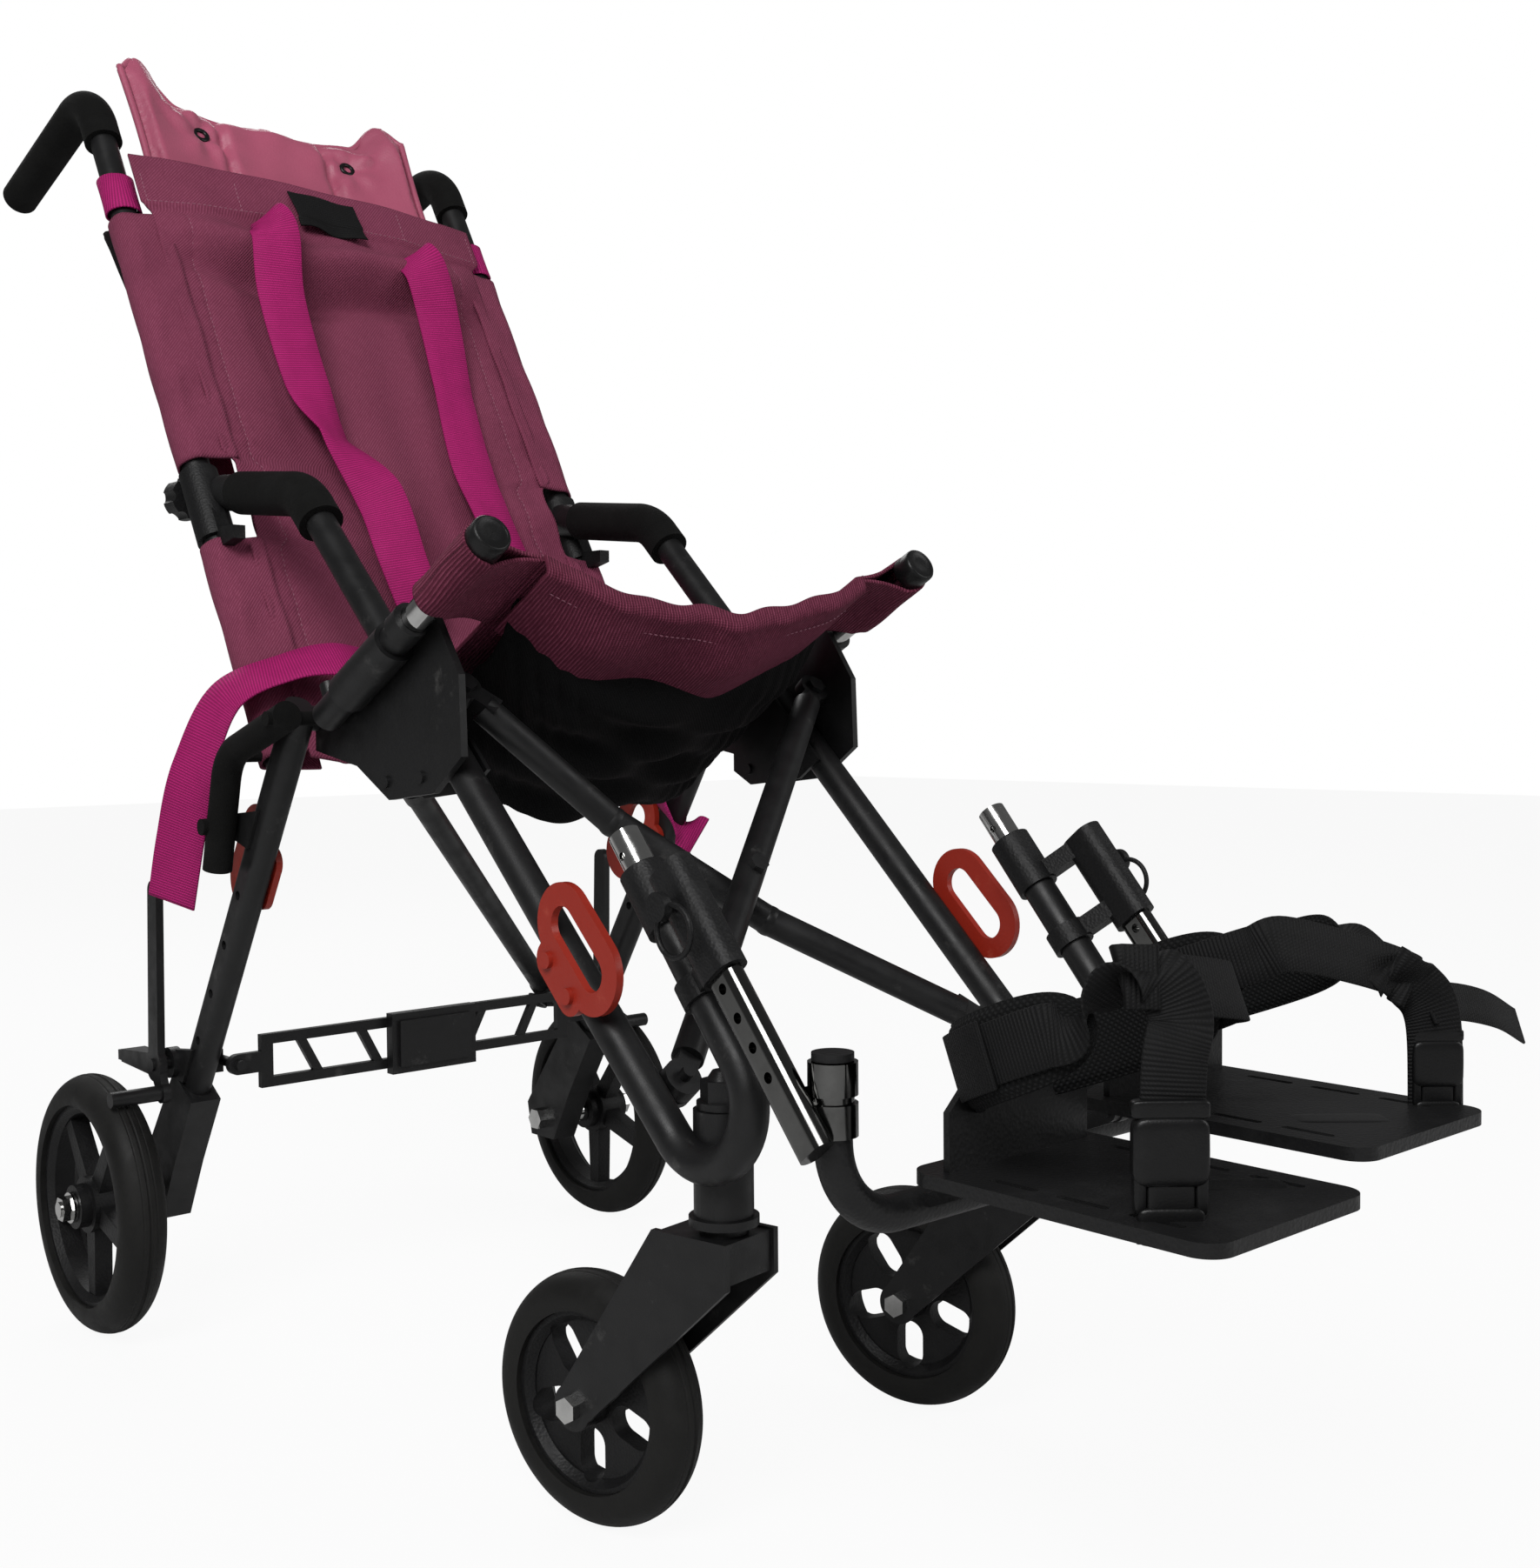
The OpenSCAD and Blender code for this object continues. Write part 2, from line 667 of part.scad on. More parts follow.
module tie_downs() {
    color(RED) {
        on_leg(leg_x + tube_r) translate([front_ring_a, 0, 0]) ring_plate();
        on_rear_leg(rear_leg_x - rear_leg_w / 2) translate([rear_ring_a, 0, 0]) rotate([180, 0, 0])
            ring_plate();
    }
}

// Wheels, turning about their local z axis

module tyre_shape(r, rim_r, w) {
    crown = w / 2;
    difference() {
        translate([r - crown, 0]) circle(crown);
        translate([0, -w]) square([rim_r + sleeve_gap, 2 * w]);
        for (k = [-1 : 1])
            translate([r + 0.4, k * 5.5]) circle(1.6);
    }
}

rear_rim_r = rear_wheel_d / 2 - 23;
front_rim_r = front_wheel_d / 2 - 22;

module tyre(d, rim_r, w) {
    color(RUBBER) rotate_extrude() tyre_shape(d / 2, rim_r, w);
}

module rear_wheel_place() {
    translate([wheel_x, 0, axle_z]) rotate([0, 90, 0]) children();
}

module rear_rim() {
    spokes = 5;
    color(BLACK) difference() {
        union() {
            rotate_extrude() polygon([
                [rear_rim_r - 7, -8], [rear_rim_r - 3, -13], [rear_rim_r, -13], [rear_rim_r, 13],
                [rear_rim_r - 3, 13], [rear_rim_r - 7, 8]
            ]);
            cylinder(h = 40, r = 17, center = true);
            cylinder(h = 22, r = 22, center = true);
            for (k = [0 : spokes - 1])
                rotate(360 / spokes * k) linear_extrude(14, center = true)
                    polygon([[10, -8.5], [rear_rim_r - 4, -6], [rear_rim_r - 4, 6], [10, 8.5]]);
        }
        cylinder(h = 60, r = rear_axle_d / 2 + run_gap, center = true);
    }
}

module rear_axle() {
    hub_half = 20;
    color(CHROME) side_view(0) translate([0, axle_z]) {
        translate([0, 0, rear_leg_x - rear_leg_w / 2 - 3])
            cylinder(h = wheel_x - rear_leg_x + rear_leg_w / 2 + 3 + hub_half + 12, r = rear_axle_d / 2);
        translate([0, 0, rear_leg_out + 3])
            cylinder(h = wheel_x - hub_half - rear_leg_out - 3 - body_gap, r = 10);
        translate([0, 0, wheel_x + hub_half + body_gap]) cylinder(h = 3, r = 12);
        translate([0, 0, wheel_x + hub_half + body_gap + 3]) cylinder(h = 7, r = 10, $fn = 6);
        translate([0, 0, rear_leg_x - rear_leg_w / 2 - 12]) cylinder(h = 9, r = 10, $fn = 6);
    }
}

module caster_place(side, turn) {
    translate([side * caster_x, caster_y, 0]) rotate(turn) children();
}

module front_wheel_place() {
    translate([0, trail, front_axle_z]) rotate([0, 90, 0]) children();
}

// Bent-plate fork with its swivel stem and top nut
module caster_fork() {
    blade_dir = [trail - 8, front_axle_z - crown_z];
    across = 0.94 * fork_end_r / norm(blade_dir) * [-blade_dir.y, blade_dir.x];
    axle = [trail, front_axle_z];
    color(BLACK) difference() {
        union() {
            for (x = [-fork_in - fork_t, fork_in])
                side_view(x) linear_extrude(fork_t) {
                    polygon([
                        [-20, crown_z], [34, crown_z], axle + across, axle - across, [-20, crown_z - 26]
                    ]);
                    translate(axle) circle(fork_end_r);
                }
            side_view(-fork_in - 1) linear_extrude(2 * fork_in + 2) polygon([
                [-18, crown_z - 24], [-18, crown_z - 1], [32, crown_z - 1], [32, crown_z - 1 - crown_t],
                [-13, crown_z - 1 - crown_t], [-14, crown_z - 24]
            ]);
            translate([0, 0, crown_z - 3]) cylinder(h = housing_top - crown_z + 9, r = stem_d / 2);
            translate([0, 0, crown_z - 2]) cylinder(h = housing_low - crown_z + 2 - body_gap, r = 14);
            translate([0, 0, housing_top + body_gap]) cylinder(h = 4, r = 15);
            translate([0, 0, housing_top + body_gap + 3]) cylinder(h = 13, r = 13, $fn = 6);
            translate([0, 0, housing_top + body_gap + 15]) cylinder(h = 6, r1 = 10, r2 = 6);
        }
        front_wheel_place() cylinder(h = 4 * fork_in, r = front_axle_d / 2 + run_gap, center = true);
    }
}

module front_rim() {
    windows = 5;
    color(BLACK) difference() {
        union() {
            rotate_extrude() polygon([
                [front_rim_r - 7, -7], [front_rim_r - 3, -12], [front_rim_r, -12], [front_rim_r, 12],
                [front_rim_r - 3, 12], [front_rim_r - 7, 7]
            ]);
            cylinder(h = 12, r = front_rim_r - 2, center = true);
            cylinder(h = 2 * fork_in - 3, r = 14, center = true);
        }
        cylinder(h = 60, r = front_axle_d / 2 + run_gap, center = true);
        for (k = [0 : windows - 1])
            rotate(360 / windows * k) translate([(front_rim_r + 10) / 2 + 1, 0, 0])
                linear_extrude(30, center = true) intersection() {
                    slot_shape(front_rim_r - 22, 20);
                    square([front_rim_r, 24], center = true);
                }
    }
}

module front_axle() {
    half = fork_in + fork_t;
    color(CHROME) {
        cylinder(h = 2 * half + 8, r = front_axle_d / 2, center = true);
        translate([0, 0, half]) cylinder(h = 6, r = 8, $fn = 6);
        translate([0, 0, -half - 6]) cylinder(h = 6, r = 8, $fn = 6);
    }
}

// Brake: upright hand lever, foot pedal behind it and a shoe bar on the tyre
module brake_lever() {
    hand_top = [lever_y - 4, lever_z + 136];
    shoe_r = 6;
    shoe = [0, axle_z] + (rear_wheel_d / 2 + shoe_r + body_gap) * [-cos(58), sin(58)];
    color(BLACK) difference() {
        union() {
            side_view(lever_x) linear_extrude(lever_t) {
                polygon([
                    [lever_y - 9, lever_z], hand_top + [-8, 0], hand_top + [8, 0], [lever_y + 9, lever_z]
                ]);
                translate(hand_top) circle(8);
                translate([lever_y, lever_z]) circle(13);
                polygon([[lever_y - 9, lever_z], [lever_y + 9, lever_z], shoe + [7, 0], shoe + [-7, 0]]);
                translate(shoe) circle(8);
                polygon([
                    [lever_y, lever_z + 9], [lever_y, lever_z - 9], [lever_y + 62, lever_z - 6],
                    [lever_y + 62, lever_z + 4]
                ]);
            }
            side_view(lever_x) translate(shoe)
                cylinder(h = wheel_x + rear_tyre_w / 2 - lever_x - 6, r = shoe_r);
            translate([lever_x - 16, lever_y + 40, lever_z - 5]) cube([lever_t + 16, 28, lever_t + 2]);
        }
        side_view(lever_x - 1) translate([lever_y, lever_z])
            cylinder(h = lever_t + 2, r = lever_pin_d / 2 + run_gap);
    }
}

// Footrests

module footrest_post() {
    color(CHROME) on_arm(leg_x) difference() {
        along(arm_len - post_sunk, arm_len + post_show, post_d / 2);
        along(arm_len + 6, arm_len + post_show + 1, post_d / 2 - 2);
        translate([arm_len + 22, 0, -post_d]) cylinder(h = 2 * post_d, r = 2.5);
    }
}

// The left footrest stands a few holes higher on its tube
module raised() {
    translate([0, left_raise * arm_dir.x, left_raise * arm_dir.y]) children();
}

// A flat-oval rod along the local x axis, its depth in the side view
module oval_along(start, stop, depth, width) {
    translate([start, hanger_gap, hanger_out]) rotate([0, 90, 0]) rotate(90)
        linear_extrude(stop - start) slot_shape(depth, width);
}

// Web from the short arm to the barrel
module hanger_web(start, stop) {
    translate([start, 0, 0]) rotate([atan2(hanger_out, hanger_gap), 0, 0]) translate([0, 0, -6])
        cube([stop - start, norm([hanger_gap, hanger_out]), 12]);
}

// Collar on the short arm and barrel round the footrest tube, with the quick-release pin and its ring
module hanger_sleeve() {
    pin_out = hanger_out + rest_w / 2 + barrel_wall;
    color(BLACK) on_arm(leg_x) difference() {
        union() {
            along(collar_low, collar_top, tube_r + 3);
            oval_along(barrel_low, barrel_top, rest_depth + 2 * barrel_wall, rest_w + 2 * barrel_wall);
            hanger_web(collar_low + 1, barrel_top - 1);
            along(barrel_low + 8, barrel_low + 22, tube_r + 3);
            hanger_web(barrel_low + 9, barrel_low + 21);
            translate([barrel_low + 46, hanger_gap, pin_out - 3]) cylinder(h = 13, r = 4);
            translate([barrel_low + 46, hanger_gap, pin_out + 8]) cylinder(h = 5, r = 8);
            translate([barrel_low + 30, hanger_gap, pin_out + 9]) rotate([0, 90, 0]) rotate([0, 90, 0])
                rotate_extrude() translate([14, 0]) circle(1.6);
        }
        along(0, arm_len, tube_r + sleeve_gap);
        along(arm_len - 1, collar_top + 1, post_d / 2 + sleeve_gap);
        oval_along(barrel_low - 1, barrel_top + 1, rest_depth + 2 * run_gap, rest_w + 2 * run_gap);
    }
}

// Chrome tube that slides in the barrel, with the ring joint welded in front of it
module footrest_tube() {
    color(CHROME) difference() {
        union() {
            on_arm(leg_x) oval_along(rest_low, rest_top, rest_depth, rest_w);
            on_arm(leg_x) translate([joint_a - 10, joint_n - 14, 0]) cube([20, 12, hanger_out]);
            translate([leg_x, swing_y, swing_z - joint_h / 2]) {
                cylinder(h = joint_h / 2 - 2, r = joint_d / 2);
                cylinder(h = joint_h, r = joint_d / 2 - 2);
                translate([0, 0, joint_h / 2 + 2]) cylinder(h = joint_h / 2 - 2, r = joint_d / 2);
            }
        }
        translate([leg_x, swing_y, swing_z - joint_h])
            cylinder(h = 2 * joint_h, r = joint_pin_d / 2 + run_gap);
        for (k = [0 : 4])
            on_arm(leg_x) translate([rest_top - 30 - 18 * k, hanger_gap, hanger_out - rest_w])
                cylinder(h = 2 * rest_w, r = 3);
    }
}

// Tube that hangs from the ring joint, turns inwards under the plate and carries its hinge lugs
module footplate_tube() {
    joint_low = swing_z - joint_h / 2;
    inner_end = plate_in + 22;
    color(BLACK) difference() {
        union() {
            translate([leg_x, swing_y, joint_low - 2])
                cylinder(h = joint_h + 3 + body_gap, r = joint_pin_d / 2);
            translate([leg_x, swing_y, swing_z + joint_h / 2 + body_gap])
                cylinder(h = 4, r = joint_d / 2 - 2);
            translate([0, swing_y, 0]) rotate([90, 0, 0]) bent_tube(
                [[leg_x, joint_low - body_gap], [leg_x, elbow_z], [inner_end, elbow_z]],
                [0, elbow_bend, 0], foot_tube_d / 2);
            for (x = lug_x)
                side_view(x) linear_extrude(lug_t) {
                    polygon([
                        [swing_y + 8, elbow_z + 6], [swing_y + 8, elbow_z - 6], [flip_y, flip_z - 8],
                        [flip_y - 4, flip_z + 5], [swing_y - 10, elbow_z + 9]
                    ]);
                    translate([flip_y, flip_z]) circle(8);
                }
        }
        side_view(0) translate([flip_y, flip_z]) cylinder(h = leg_x, r = flip_pin_d / 2 + run_gap);
    }
}

// Plate with its slots, ears, hinge pin and heel bracket
module footplate() {
    ear_t = 6;
    corner = 14;
    front = plate_rear - plate_len;
    color(BLACK) {
        translate([0, 0, plate_low]) linear_extrude(plate_t) difference() {
            union() {
                translate([plate_in + corner, front]) square([plate_w - 2 * corner, plate_len]);
                translate([plate_in, front + corner]) square([plate_w, plate_len - 2 * corner]);
                for (x = [plate_in + corner, plate_in + plate_w - corner])
                    for (y = [front + corner, plate_rear - corner])
                        translate([x, y]) circle(corner);
            }
            for (x = [plate_in + 16, plate_in + plate_w - 16])
                for (k = [-1 : 1])
                    translate([x, front + plate_len / 2 + 42 * k - 8]) rotate(90) slot_shape(30, 5);
            for (x = lug_x)
                translate([x - lug_gap, flip_y - 11]) square([lug_t + 2 * lug_gap, plate_rear - flip_y + 12]);
        }
        for (x = lug_x)
            for (e = [x - body_gap - ear_t, x + lug_t + body_gap])
                side_view(e) linear_extrude(ear_t) {
                    translate([flip_y, flip_z]) circle(7);
                    translate([flip_y - 7, flip_z]) square([14, plate_low - flip_z + 1]);
                }
        for (x = lug_x)
            side_view(x - body_gap - ear_t - 3) translate([flip_y, flip_z])
                cylinder(h = lug_t + 2 * body_gap + 2 * ear_t + 6, r = flip_pin_d / 2);
        translate([0, flip_y - 12, plate_low + plate_t - 1]) rotate([90, 0, 0]) linear_extrude(4) polygon([
            [plate_in + 10, 0], [plate_in + plate_w - 10, 0], [plate_in + plate_w - 10, heel_h - 14],
            [plate_in + plate_w - 26, heel_h + 1], [plate_in + 26, heel_h + 1], [plate_in + 10, heel_h - 14]
        ]);
    }
}

// Padded strap that arches over the plate, from slot to slot
module ankle_strap() {
    strap_w = 42;
    strap_t = 9;
    loop_r = plate_w / 2 - 5;
    tilt = 35;
    heel_y = flip_y - 16 - body_gap;
    loop_y = heel_y - loop_r * cos(tilt) - strap_w / 2 * sin(tilt);
    loop_z = plate_low + plate_t + 56;
    color(FOAM) translate([plate_in + plate_w / 2, loop_y, loop_z]) rotate([-tilt, 0, 0])
        linear_extrude(strap_w, center = true) difference() {
            circle(loop_r);
            circle(loop_r - strap_t);
        }
}

// Cross tubes: local x up their plane, y in front of it, z across the frame

knee_lip = 0.6;
knee_gap = 2;
flat_end = 26;
flat_half = cross_d / 2 - 3;
round_from = 18;

// A rod that stops just short of both its knees
module cross_rod(a, b) {
    v = (b - a) / norm(b - a);
    rod(a + knee_gap * v, b - knee_gap * v, cross_d / 2);
}

module cross_knee(p) {
    translate(p) sphere(cross_d / 2 + knee_lip);
}

// Flattened end with its eye, heading along v
module cross_eye(p, v) {
    translate(p + [0, eye_t / 2, 0]) rotate([90, 0, 0]) cylinder(h = eye_t, r = eye_r);
    translate(p) rotate([0, atan2(v.x, v.z), 0]) translate([-flat_half, -eye_t / 2, 0])
        cube([2 * flat_half, eye_t, flat_end]);
}

// An eye and the round rod from it towards a knee
module cross_end(p, toward) {
    v = (toward - p) / norm(toward - p);
    cross_eye(p, v);
    rod(p + round_from * v, toward - knee_gap * v, cross_d / 2);
}

// Straight front tube from the right foot to the left side, with the pivot bolt
module cross_tube_a() {
    low = [0, 0, -cross_x];
    high = [cross_len, 0, cross_top_x];
    mid = [cross_mid, 0, 0];
    v = (high - low) / norm(high - low);
    color(BLACK) on_cross() difference() {
        union() {
            cross_eye(low, v);
            cross_eye(high, -v);
            rod(low + round_from * v, high - round_from * v, cross_d / 2);
            translate(mid) rotate([90, 0, 0])
                cylinder(h = cross_offset + cross_d / 2 + 8, r = cross_pin_d / 2);
            translate(mid + [0, cross_d / 2 + 4, 0]) rotate([90, 0, 0]) cylinder(h = 8, r = 7, $fn = 6);
            translate(high + [0, eye_t / 2 + 4, 0]) rotate([90, 0, 0]) cylinder(h = 6, r = 7, $fn = 6);
        }
        translate(low) rotate([90, 0, 0])
            cylinder(h = 3 * eye_t, r = cross_pin_d / 2 + run_gap, center = true);
    }
}

// Rear tube, set back where it passes behind the other
module cross_tube_b() {
    low = [0, 0, cross_x];
    high = [cross_len, 0, -cross_top_x];
    back = [0, -cross_offset, 0];
    mid = [cross_mid, 0, 0];
    near_low = mid + 0.16 * (low - mid) + back;
    near_high = mid + 0.42 * (high - mid) + back;
    color(BLACK) on_cross() difference() {
        union() {
            cross_end(low, near_low);
            cross_end(high, near_high);
            cross_rod(near_low, near_high);
            for (p = [near_low, near_high])
                cross_knee(p);
            translate(high + [0, eye_t / 2 + 4, 0]) rotate([90, 0, 0]) cylinder(h = 6, r = 7, $fn = 6);
        }
        translate(low) rotate([90, 0, 0])
            cylinder(h = 3 * eye_t, r = cross_pin_d / 2 + run_gap, center = true);
        translate(mid + back) rotate([90, 0, 0])
            cylinder(h = 2 * cross_d, r = cross_pin_d / 2 + run_gap, center = true);
    }
}

// Half of the rear brace: two flat bars and sloping links from the leg pin to the middle
module brace_half(layer, reach) {
    y0 = brace_y + layer - bar_t / 2;
    difference() {
        union() {
            for (k = [-1, 1])
                translate([reach, y0, brace_z + k * brace_rise / 2 - bar_h / 2])
                    cube([brace_x - 21 - reach, bar_t, bar_h]);
            translate([brace_x - 29, y0, brace_z - brace_rise / 2 - bar_h / 2])
                cube([10, bar_t, brace_rise + bar_h]);
            translate([brace_x - 23, y0, brace_z - 8]) cube([23, bar_t, 16]);
            translate([brace_x, y0 + bar_t, brace_z]) rotate([90, 0, 0]) cylinder(h = bar_t, r = 8);
            for (x = [42, 96])
                translate([0, y0 + bar_t - 0.5, 0]) rotate([90, 0, 0]) linear_extrude(bar_t - 1) polygon([
                    [x, brace_z - brace_rise / 2], [x + 8, brace_z - brace_rise / 2],
                    [x + 26, brace_z + brace_rise / 2], [x + 18, brace_z + brace_rise / 2]
                ]);
        }
        translate([brace_x, y0 - 1, brace_z]) rotate([-90, 0, 0])
            cylinder(h = bar_t + 2, r = brace_pin_d / 2 + run_gap);
    }
}

// The right half carries the cover of the middle hinge
module right_rear_brace() {
    color(BLACK) {
        opposite() brace_half(-brace_layer, 6);
        translate([-cover_w / 2, brace_y - brace_layer - bar_t / 2 - 9, brace_z - cover_h / 2])
            cube([cover_w, 9.5, cover_h]);
        translate([-cover_w / 2 + 6, brace_y - brace_layer - bar_t / 2 - 12, brace_z - cover_h / 2 + 6])
            cube([cover_w - 12, 4, cover_h - 12]);
    }
}

module left_rear_brace() {
    color(BLACK) brace_half(brace_layer, 4);
}

// Diagonal tube from low on the left rear leg to the right gusset
module rear_stay() {
    v = stay_run / norm(stay_run);
    color(BLACK) difference() {
        union() {
            rod(stay_low - 12 * v, stay_high, stay_d / 2);
            rod(stay_low - 14 * v, stay_low + 13 * v, stay_end_r);
            rod(stay_high - 8 * v, stay_high + 8 * v, stay_end_r);
        }
        rod(stay_low - 2 * stay_d * stay_axis, stay_low + 2 * stay_d * stay_axis, stay_pin_d / 2 + run_gap);
    }
}

// Cloth

// Height of the seat cloth: a hammock between the seat tubes that is tightest at the front hem
function seat_drop(u, v, sag) = sag * (1 - u * u) * (0.72 + 0.28 * v) * (1 - 0.12 * pow(1 - v, 3));
function ripple(u, v) = 1.1 * sin(540 * v + 40 * u) * (1 - u * u);

seat_hem_x = seat_x - tube_r;
seat_inner_x = leg_x - tube_r - inner_plate_t - 4;
seat_rows = 12;
seat_cols = 22;
seat_far = seat_len - 14;

// Point of the seat cloth in the seat line's frame: x along the seat, y below it, z across
function seat_point(i, j, low) =
    let(u = -1 + 2 * j / (seat_cols - 1), v = i / (seat_rows - 1))
    let(at = seat_far - (seat_far - 6) * v, hem = at > seat_outer_len + 10 ? seat_hem_x : seat_inner_x)
    [at, -4 + seat_drop(u, v, seat_sag) + ripple(u, v) + low, u * hem];

function seat_grid(low) = [
    for (i = [0 : seat_rows - 1]) [for (j = [0 : seat_cols - 1]) seat_point(i, j, low)]
];

module seat_sling() {
    sleeve_r = tube_r + 2.5;
    color(MAROON) {
        on_seat(0) skin(seat_grid(cloth_t), seat_grid(0));
        for (k = [-1, 1])
            on_seat(k * seat_x) difference() {
                along(seat_outer_len + 8, seat_far, sleeve_r);
                along(seat_outer_len, seat_far + 1, extension_d / 2 + 1);
            }
    }
}

back_rows = 20;
back_cols = 24;
back_low = 30;
back_top = 548;
back_front = tube_r + 9;
back_notch = [150, 250];

// Point of the back cloth in the back line's frame: x up the back, y in front of it, z across
function back_point(i, j, deep) =
    let(u = -1 + 2 * j / (back_cols - 1), v = i / (back_rows - 1))
    let(fold = 1.6 * sin(180 * 5 * u) * v, pinch = 2.5 * sin(720 * v) * (1 - u * u) * v)
    let(at = back_low + (back_top - back_low) * v, cut = at > back_notch[0] && at < back_notch[1])
    [
        at + 6 * u * u * v,
        back_front - back_sag * (1 - u * u) * (0.4 + 0.6 * sin(180 * min(1, v + 0.1))) + fold * (1 - u * u)
            + pinch - deep,
        u * (cut ? leg_x - 24 : post_x + 12)
    ];

function back_grid(deep) = [
    for (i = [0 : back_rows - 1]) [for (j = [0 : back_cols - 1]) back_point(i, j, deep)]
];

module back_sling() {
    color(MAROON) {
        on_back(0) skin(back_grid(cloth_t), back_grid(0));
    }
}

head_rows = 9;
head_cols = 25;
head_low = 505;
head_t = 16;

// Headrest: crowned between three sewn channels, with peaked corners and thin edges
function head_crown(u, v) =
    let(edge = min(1, 6 * min(v, 1 - v)) * min(1, 10 * (1 - abs(u))))
    head_t / 2 * (0.3 + 0.7 * sqrt(edge)) * (0.62 + 0.38 * abs(sin(180 * (1.5 * u + 0.5))));
function head_point(i, j, k) =
    let(u = -1 + 2 * j / (head_cols - 1), v = i / (head_rows - 1))
    [
        head_low + headrest_len * v - 16 * v * (1 - pow(abs(u), 3)),
        k * head_crown(u, v) - 4 - 6 * v * v + 4 * u * u * v,
        u * headrest_x * (1 - 0.02 * sin(180 * v))
    ];
function head_grid(k) = [
    for (i = [0 : head_rows - 1]) [for (j = [0 : head_cols - 1]) head_point(i, j, k)]
];

module headrest_pad() {
    color(PINK) on_back(0) skin(head_grid(-1), head_grid(1));
}

under_rows = 9;
under_cols = 20;

// Black hammock below the seat cloth, fullest towards the back
function under_point(i, j, low) =
    let(u = -1 + 2 * j / (under_cols - 1), v = i / (under_rows - 1))
    [
        seat_far - 44 - (seat_far - 60) * v,
        22 + (34 + 26 * v) * (1 - u * u) + 2 * sin(900 * v) * (1 - u * u) + low,
        u * (leg_x - tube_r - inner_plate_t - 7)
    ];
function under_grid(low) = [
    for (i = [0 : under_rows - 1]) [for (j = [0 : under_cols - 1]) under_point(i, j, low)]
];

module underseat_panel() {
    color(FOAM) on_seat(0) skin(under_grid(cloth_t), under_grid(0));
}

strap_w = 38;
strap_t = 2.5;

// A strap along a hand-chosen route in the back line's frame
module shoulder_strap(x) {
    route = [
        [478, 20, 0], [440, 24, 3], [380, 27, 8], [310, 25, 12], [240, 30, 18], [170, 24, 14], [110, 26, 8]
    ];
    on_back(x) skin(
        [for (p = route) [for (k = [-1, 1]) [p.x, p.y + strap_t, p.z + k * strap_w / 2]]],
        [for (p = route) [for (k = [-1, 1]) [p.x, p.y, p.z + k * strap_w / 2]]]
    );
}

// A waist strap that hangs down beside the seat
module waist_strap() {
    route = [[-196, 494], [-176, 500], [-140, 486], [-118, 440], [-108, 380], [-100, 318]];
    side_view(link_x + link_d / 2 + 8) skin(
        [for (p = route) [for (k = [-1, 1]) [p.x + k * strap_w * 0.45, p.y + k * 4, strap_t]]],
        [for (p = route) [for (k = [-1, 1]) [p.x + k * strap_w * 0.45, p.y + k * 4, 0]]]
    );
}

module harness_straps() {
    color(MAGENTA) {
        for (x = [-70, 62])
            shoulder_strap(x);
        waist_strap();
        opposite() waist_strap();
    }
}

placed() opposite() front_leg();  // right_front_leg
placed() front_leg();  // left_front_leg
placed() opposite() armrest_pad();  // right_armrest_pad
placed() armrest_pad();  // left_armrest_pad
placed() opposite() armrest_clamp();  // right_armrest_clamp
placed() armrest_clamp();  // left_armrest_clamp
placed() opposite() back_post();  // right_back_post
placed() back_post();  // left_back_post
placed() opposite() handle_grip();  // right_handle_grip
placed() handle_grip();  // left_handle_grip
placed() opposite() seat_tube();  // right_seat_tube
placed() seat_tube();  // left_seat_tube
placed() opposite() seat_extension();  // right_seat_extension
placed() seat_extension();  // left_seat_extension
placed() opposite() gusset();  // right_gusset
placed() gusset();  // left_gusset
placed() opposite() rear_leg(false);  // right_rear_leg
placed() rear_leg(true);  // left_rear_leg
placed() opposite() back_link();  // right_back_link
placed() back_link();  // left_back_link
placed() opposite() tie_downs();  // right_tie_downs
placed() tie_downs();  // left_tie_downs
placed() opposite() rear_wheel_place() tyre(rear_wheel_d, rear_rim_r, rear_tyre_w);  // right_rear_tyre
placed() rear_wheel_place() tyre(rear_wheel_d, rear_rim_r, rear_tyre_w);  // left_rear_tyre
placed() opposite() rear_wheel_place() rear_rim();  // right_rear_rim
placed() rear_wheel_place() rear_rim();  // left_rear_rim
placed() opposite() rear_axle();  // right_rear_axle
placed() rear_axle();  // left_rear_axle
placed() caster_place(-1, right_turn) caster_fork();  // right_caster_fork
placed() caster_place(1, left_turn) caster_fork();  // left_caster_fork
placed() caster_place(-1, right_turn) front_wheel_place() tyre(front_wheel_d, front_rim_r, front_tyre_w);  // right_front_tyre
placed() caster_place(1, left_turn) front_wheel_place() tyre(front_wheel_d, front_rim_r, front_tyre_w);  // left_front_tyre
placed() caster_place(-1, right_turn) front_wheel_place() front_rim();  // right_front_rim
placed() caster_place(1, left_turn) front_wheel_place() front_rim();  // left_front_rim
placed() caster_place(-1, right_turn) front_wheel_place() front_axle();  // right_front_axle
placed() caster_place(1, left_turn) front_wheel_place() front_axle();  // left_front_axle
placed() opposite() brake_lever();  // right_brake_lever
placed() brake_lever();  // left_brake_lever
placed() opposite() footrest_post();  // right_footrest_post
placed() footrest_post();  // left_footrest_post
placed() opposite() hanger_sleeve();  // right_hanger_sleeve
placed() hanger_sleeve();  // left_hanger_sleeve
placed() opposite() footrest_tube();  // right_footrest_tube
placed() raised() footrest_tube();  // left_footrest_tube
placed() opposite() footplate_tube();  // right_footplate_tube
placed() raised() footplate_tube();  // left_footplate_tube
placed() opposite() footplate();  // right_footplate
placed() raised() footplate();  // left_footplate
placed() opposite() ankle_strap();  // right_ankle_strap
placed() raised() ankle_strap();  // left_ankle_strap
placed() cross_tube_a();
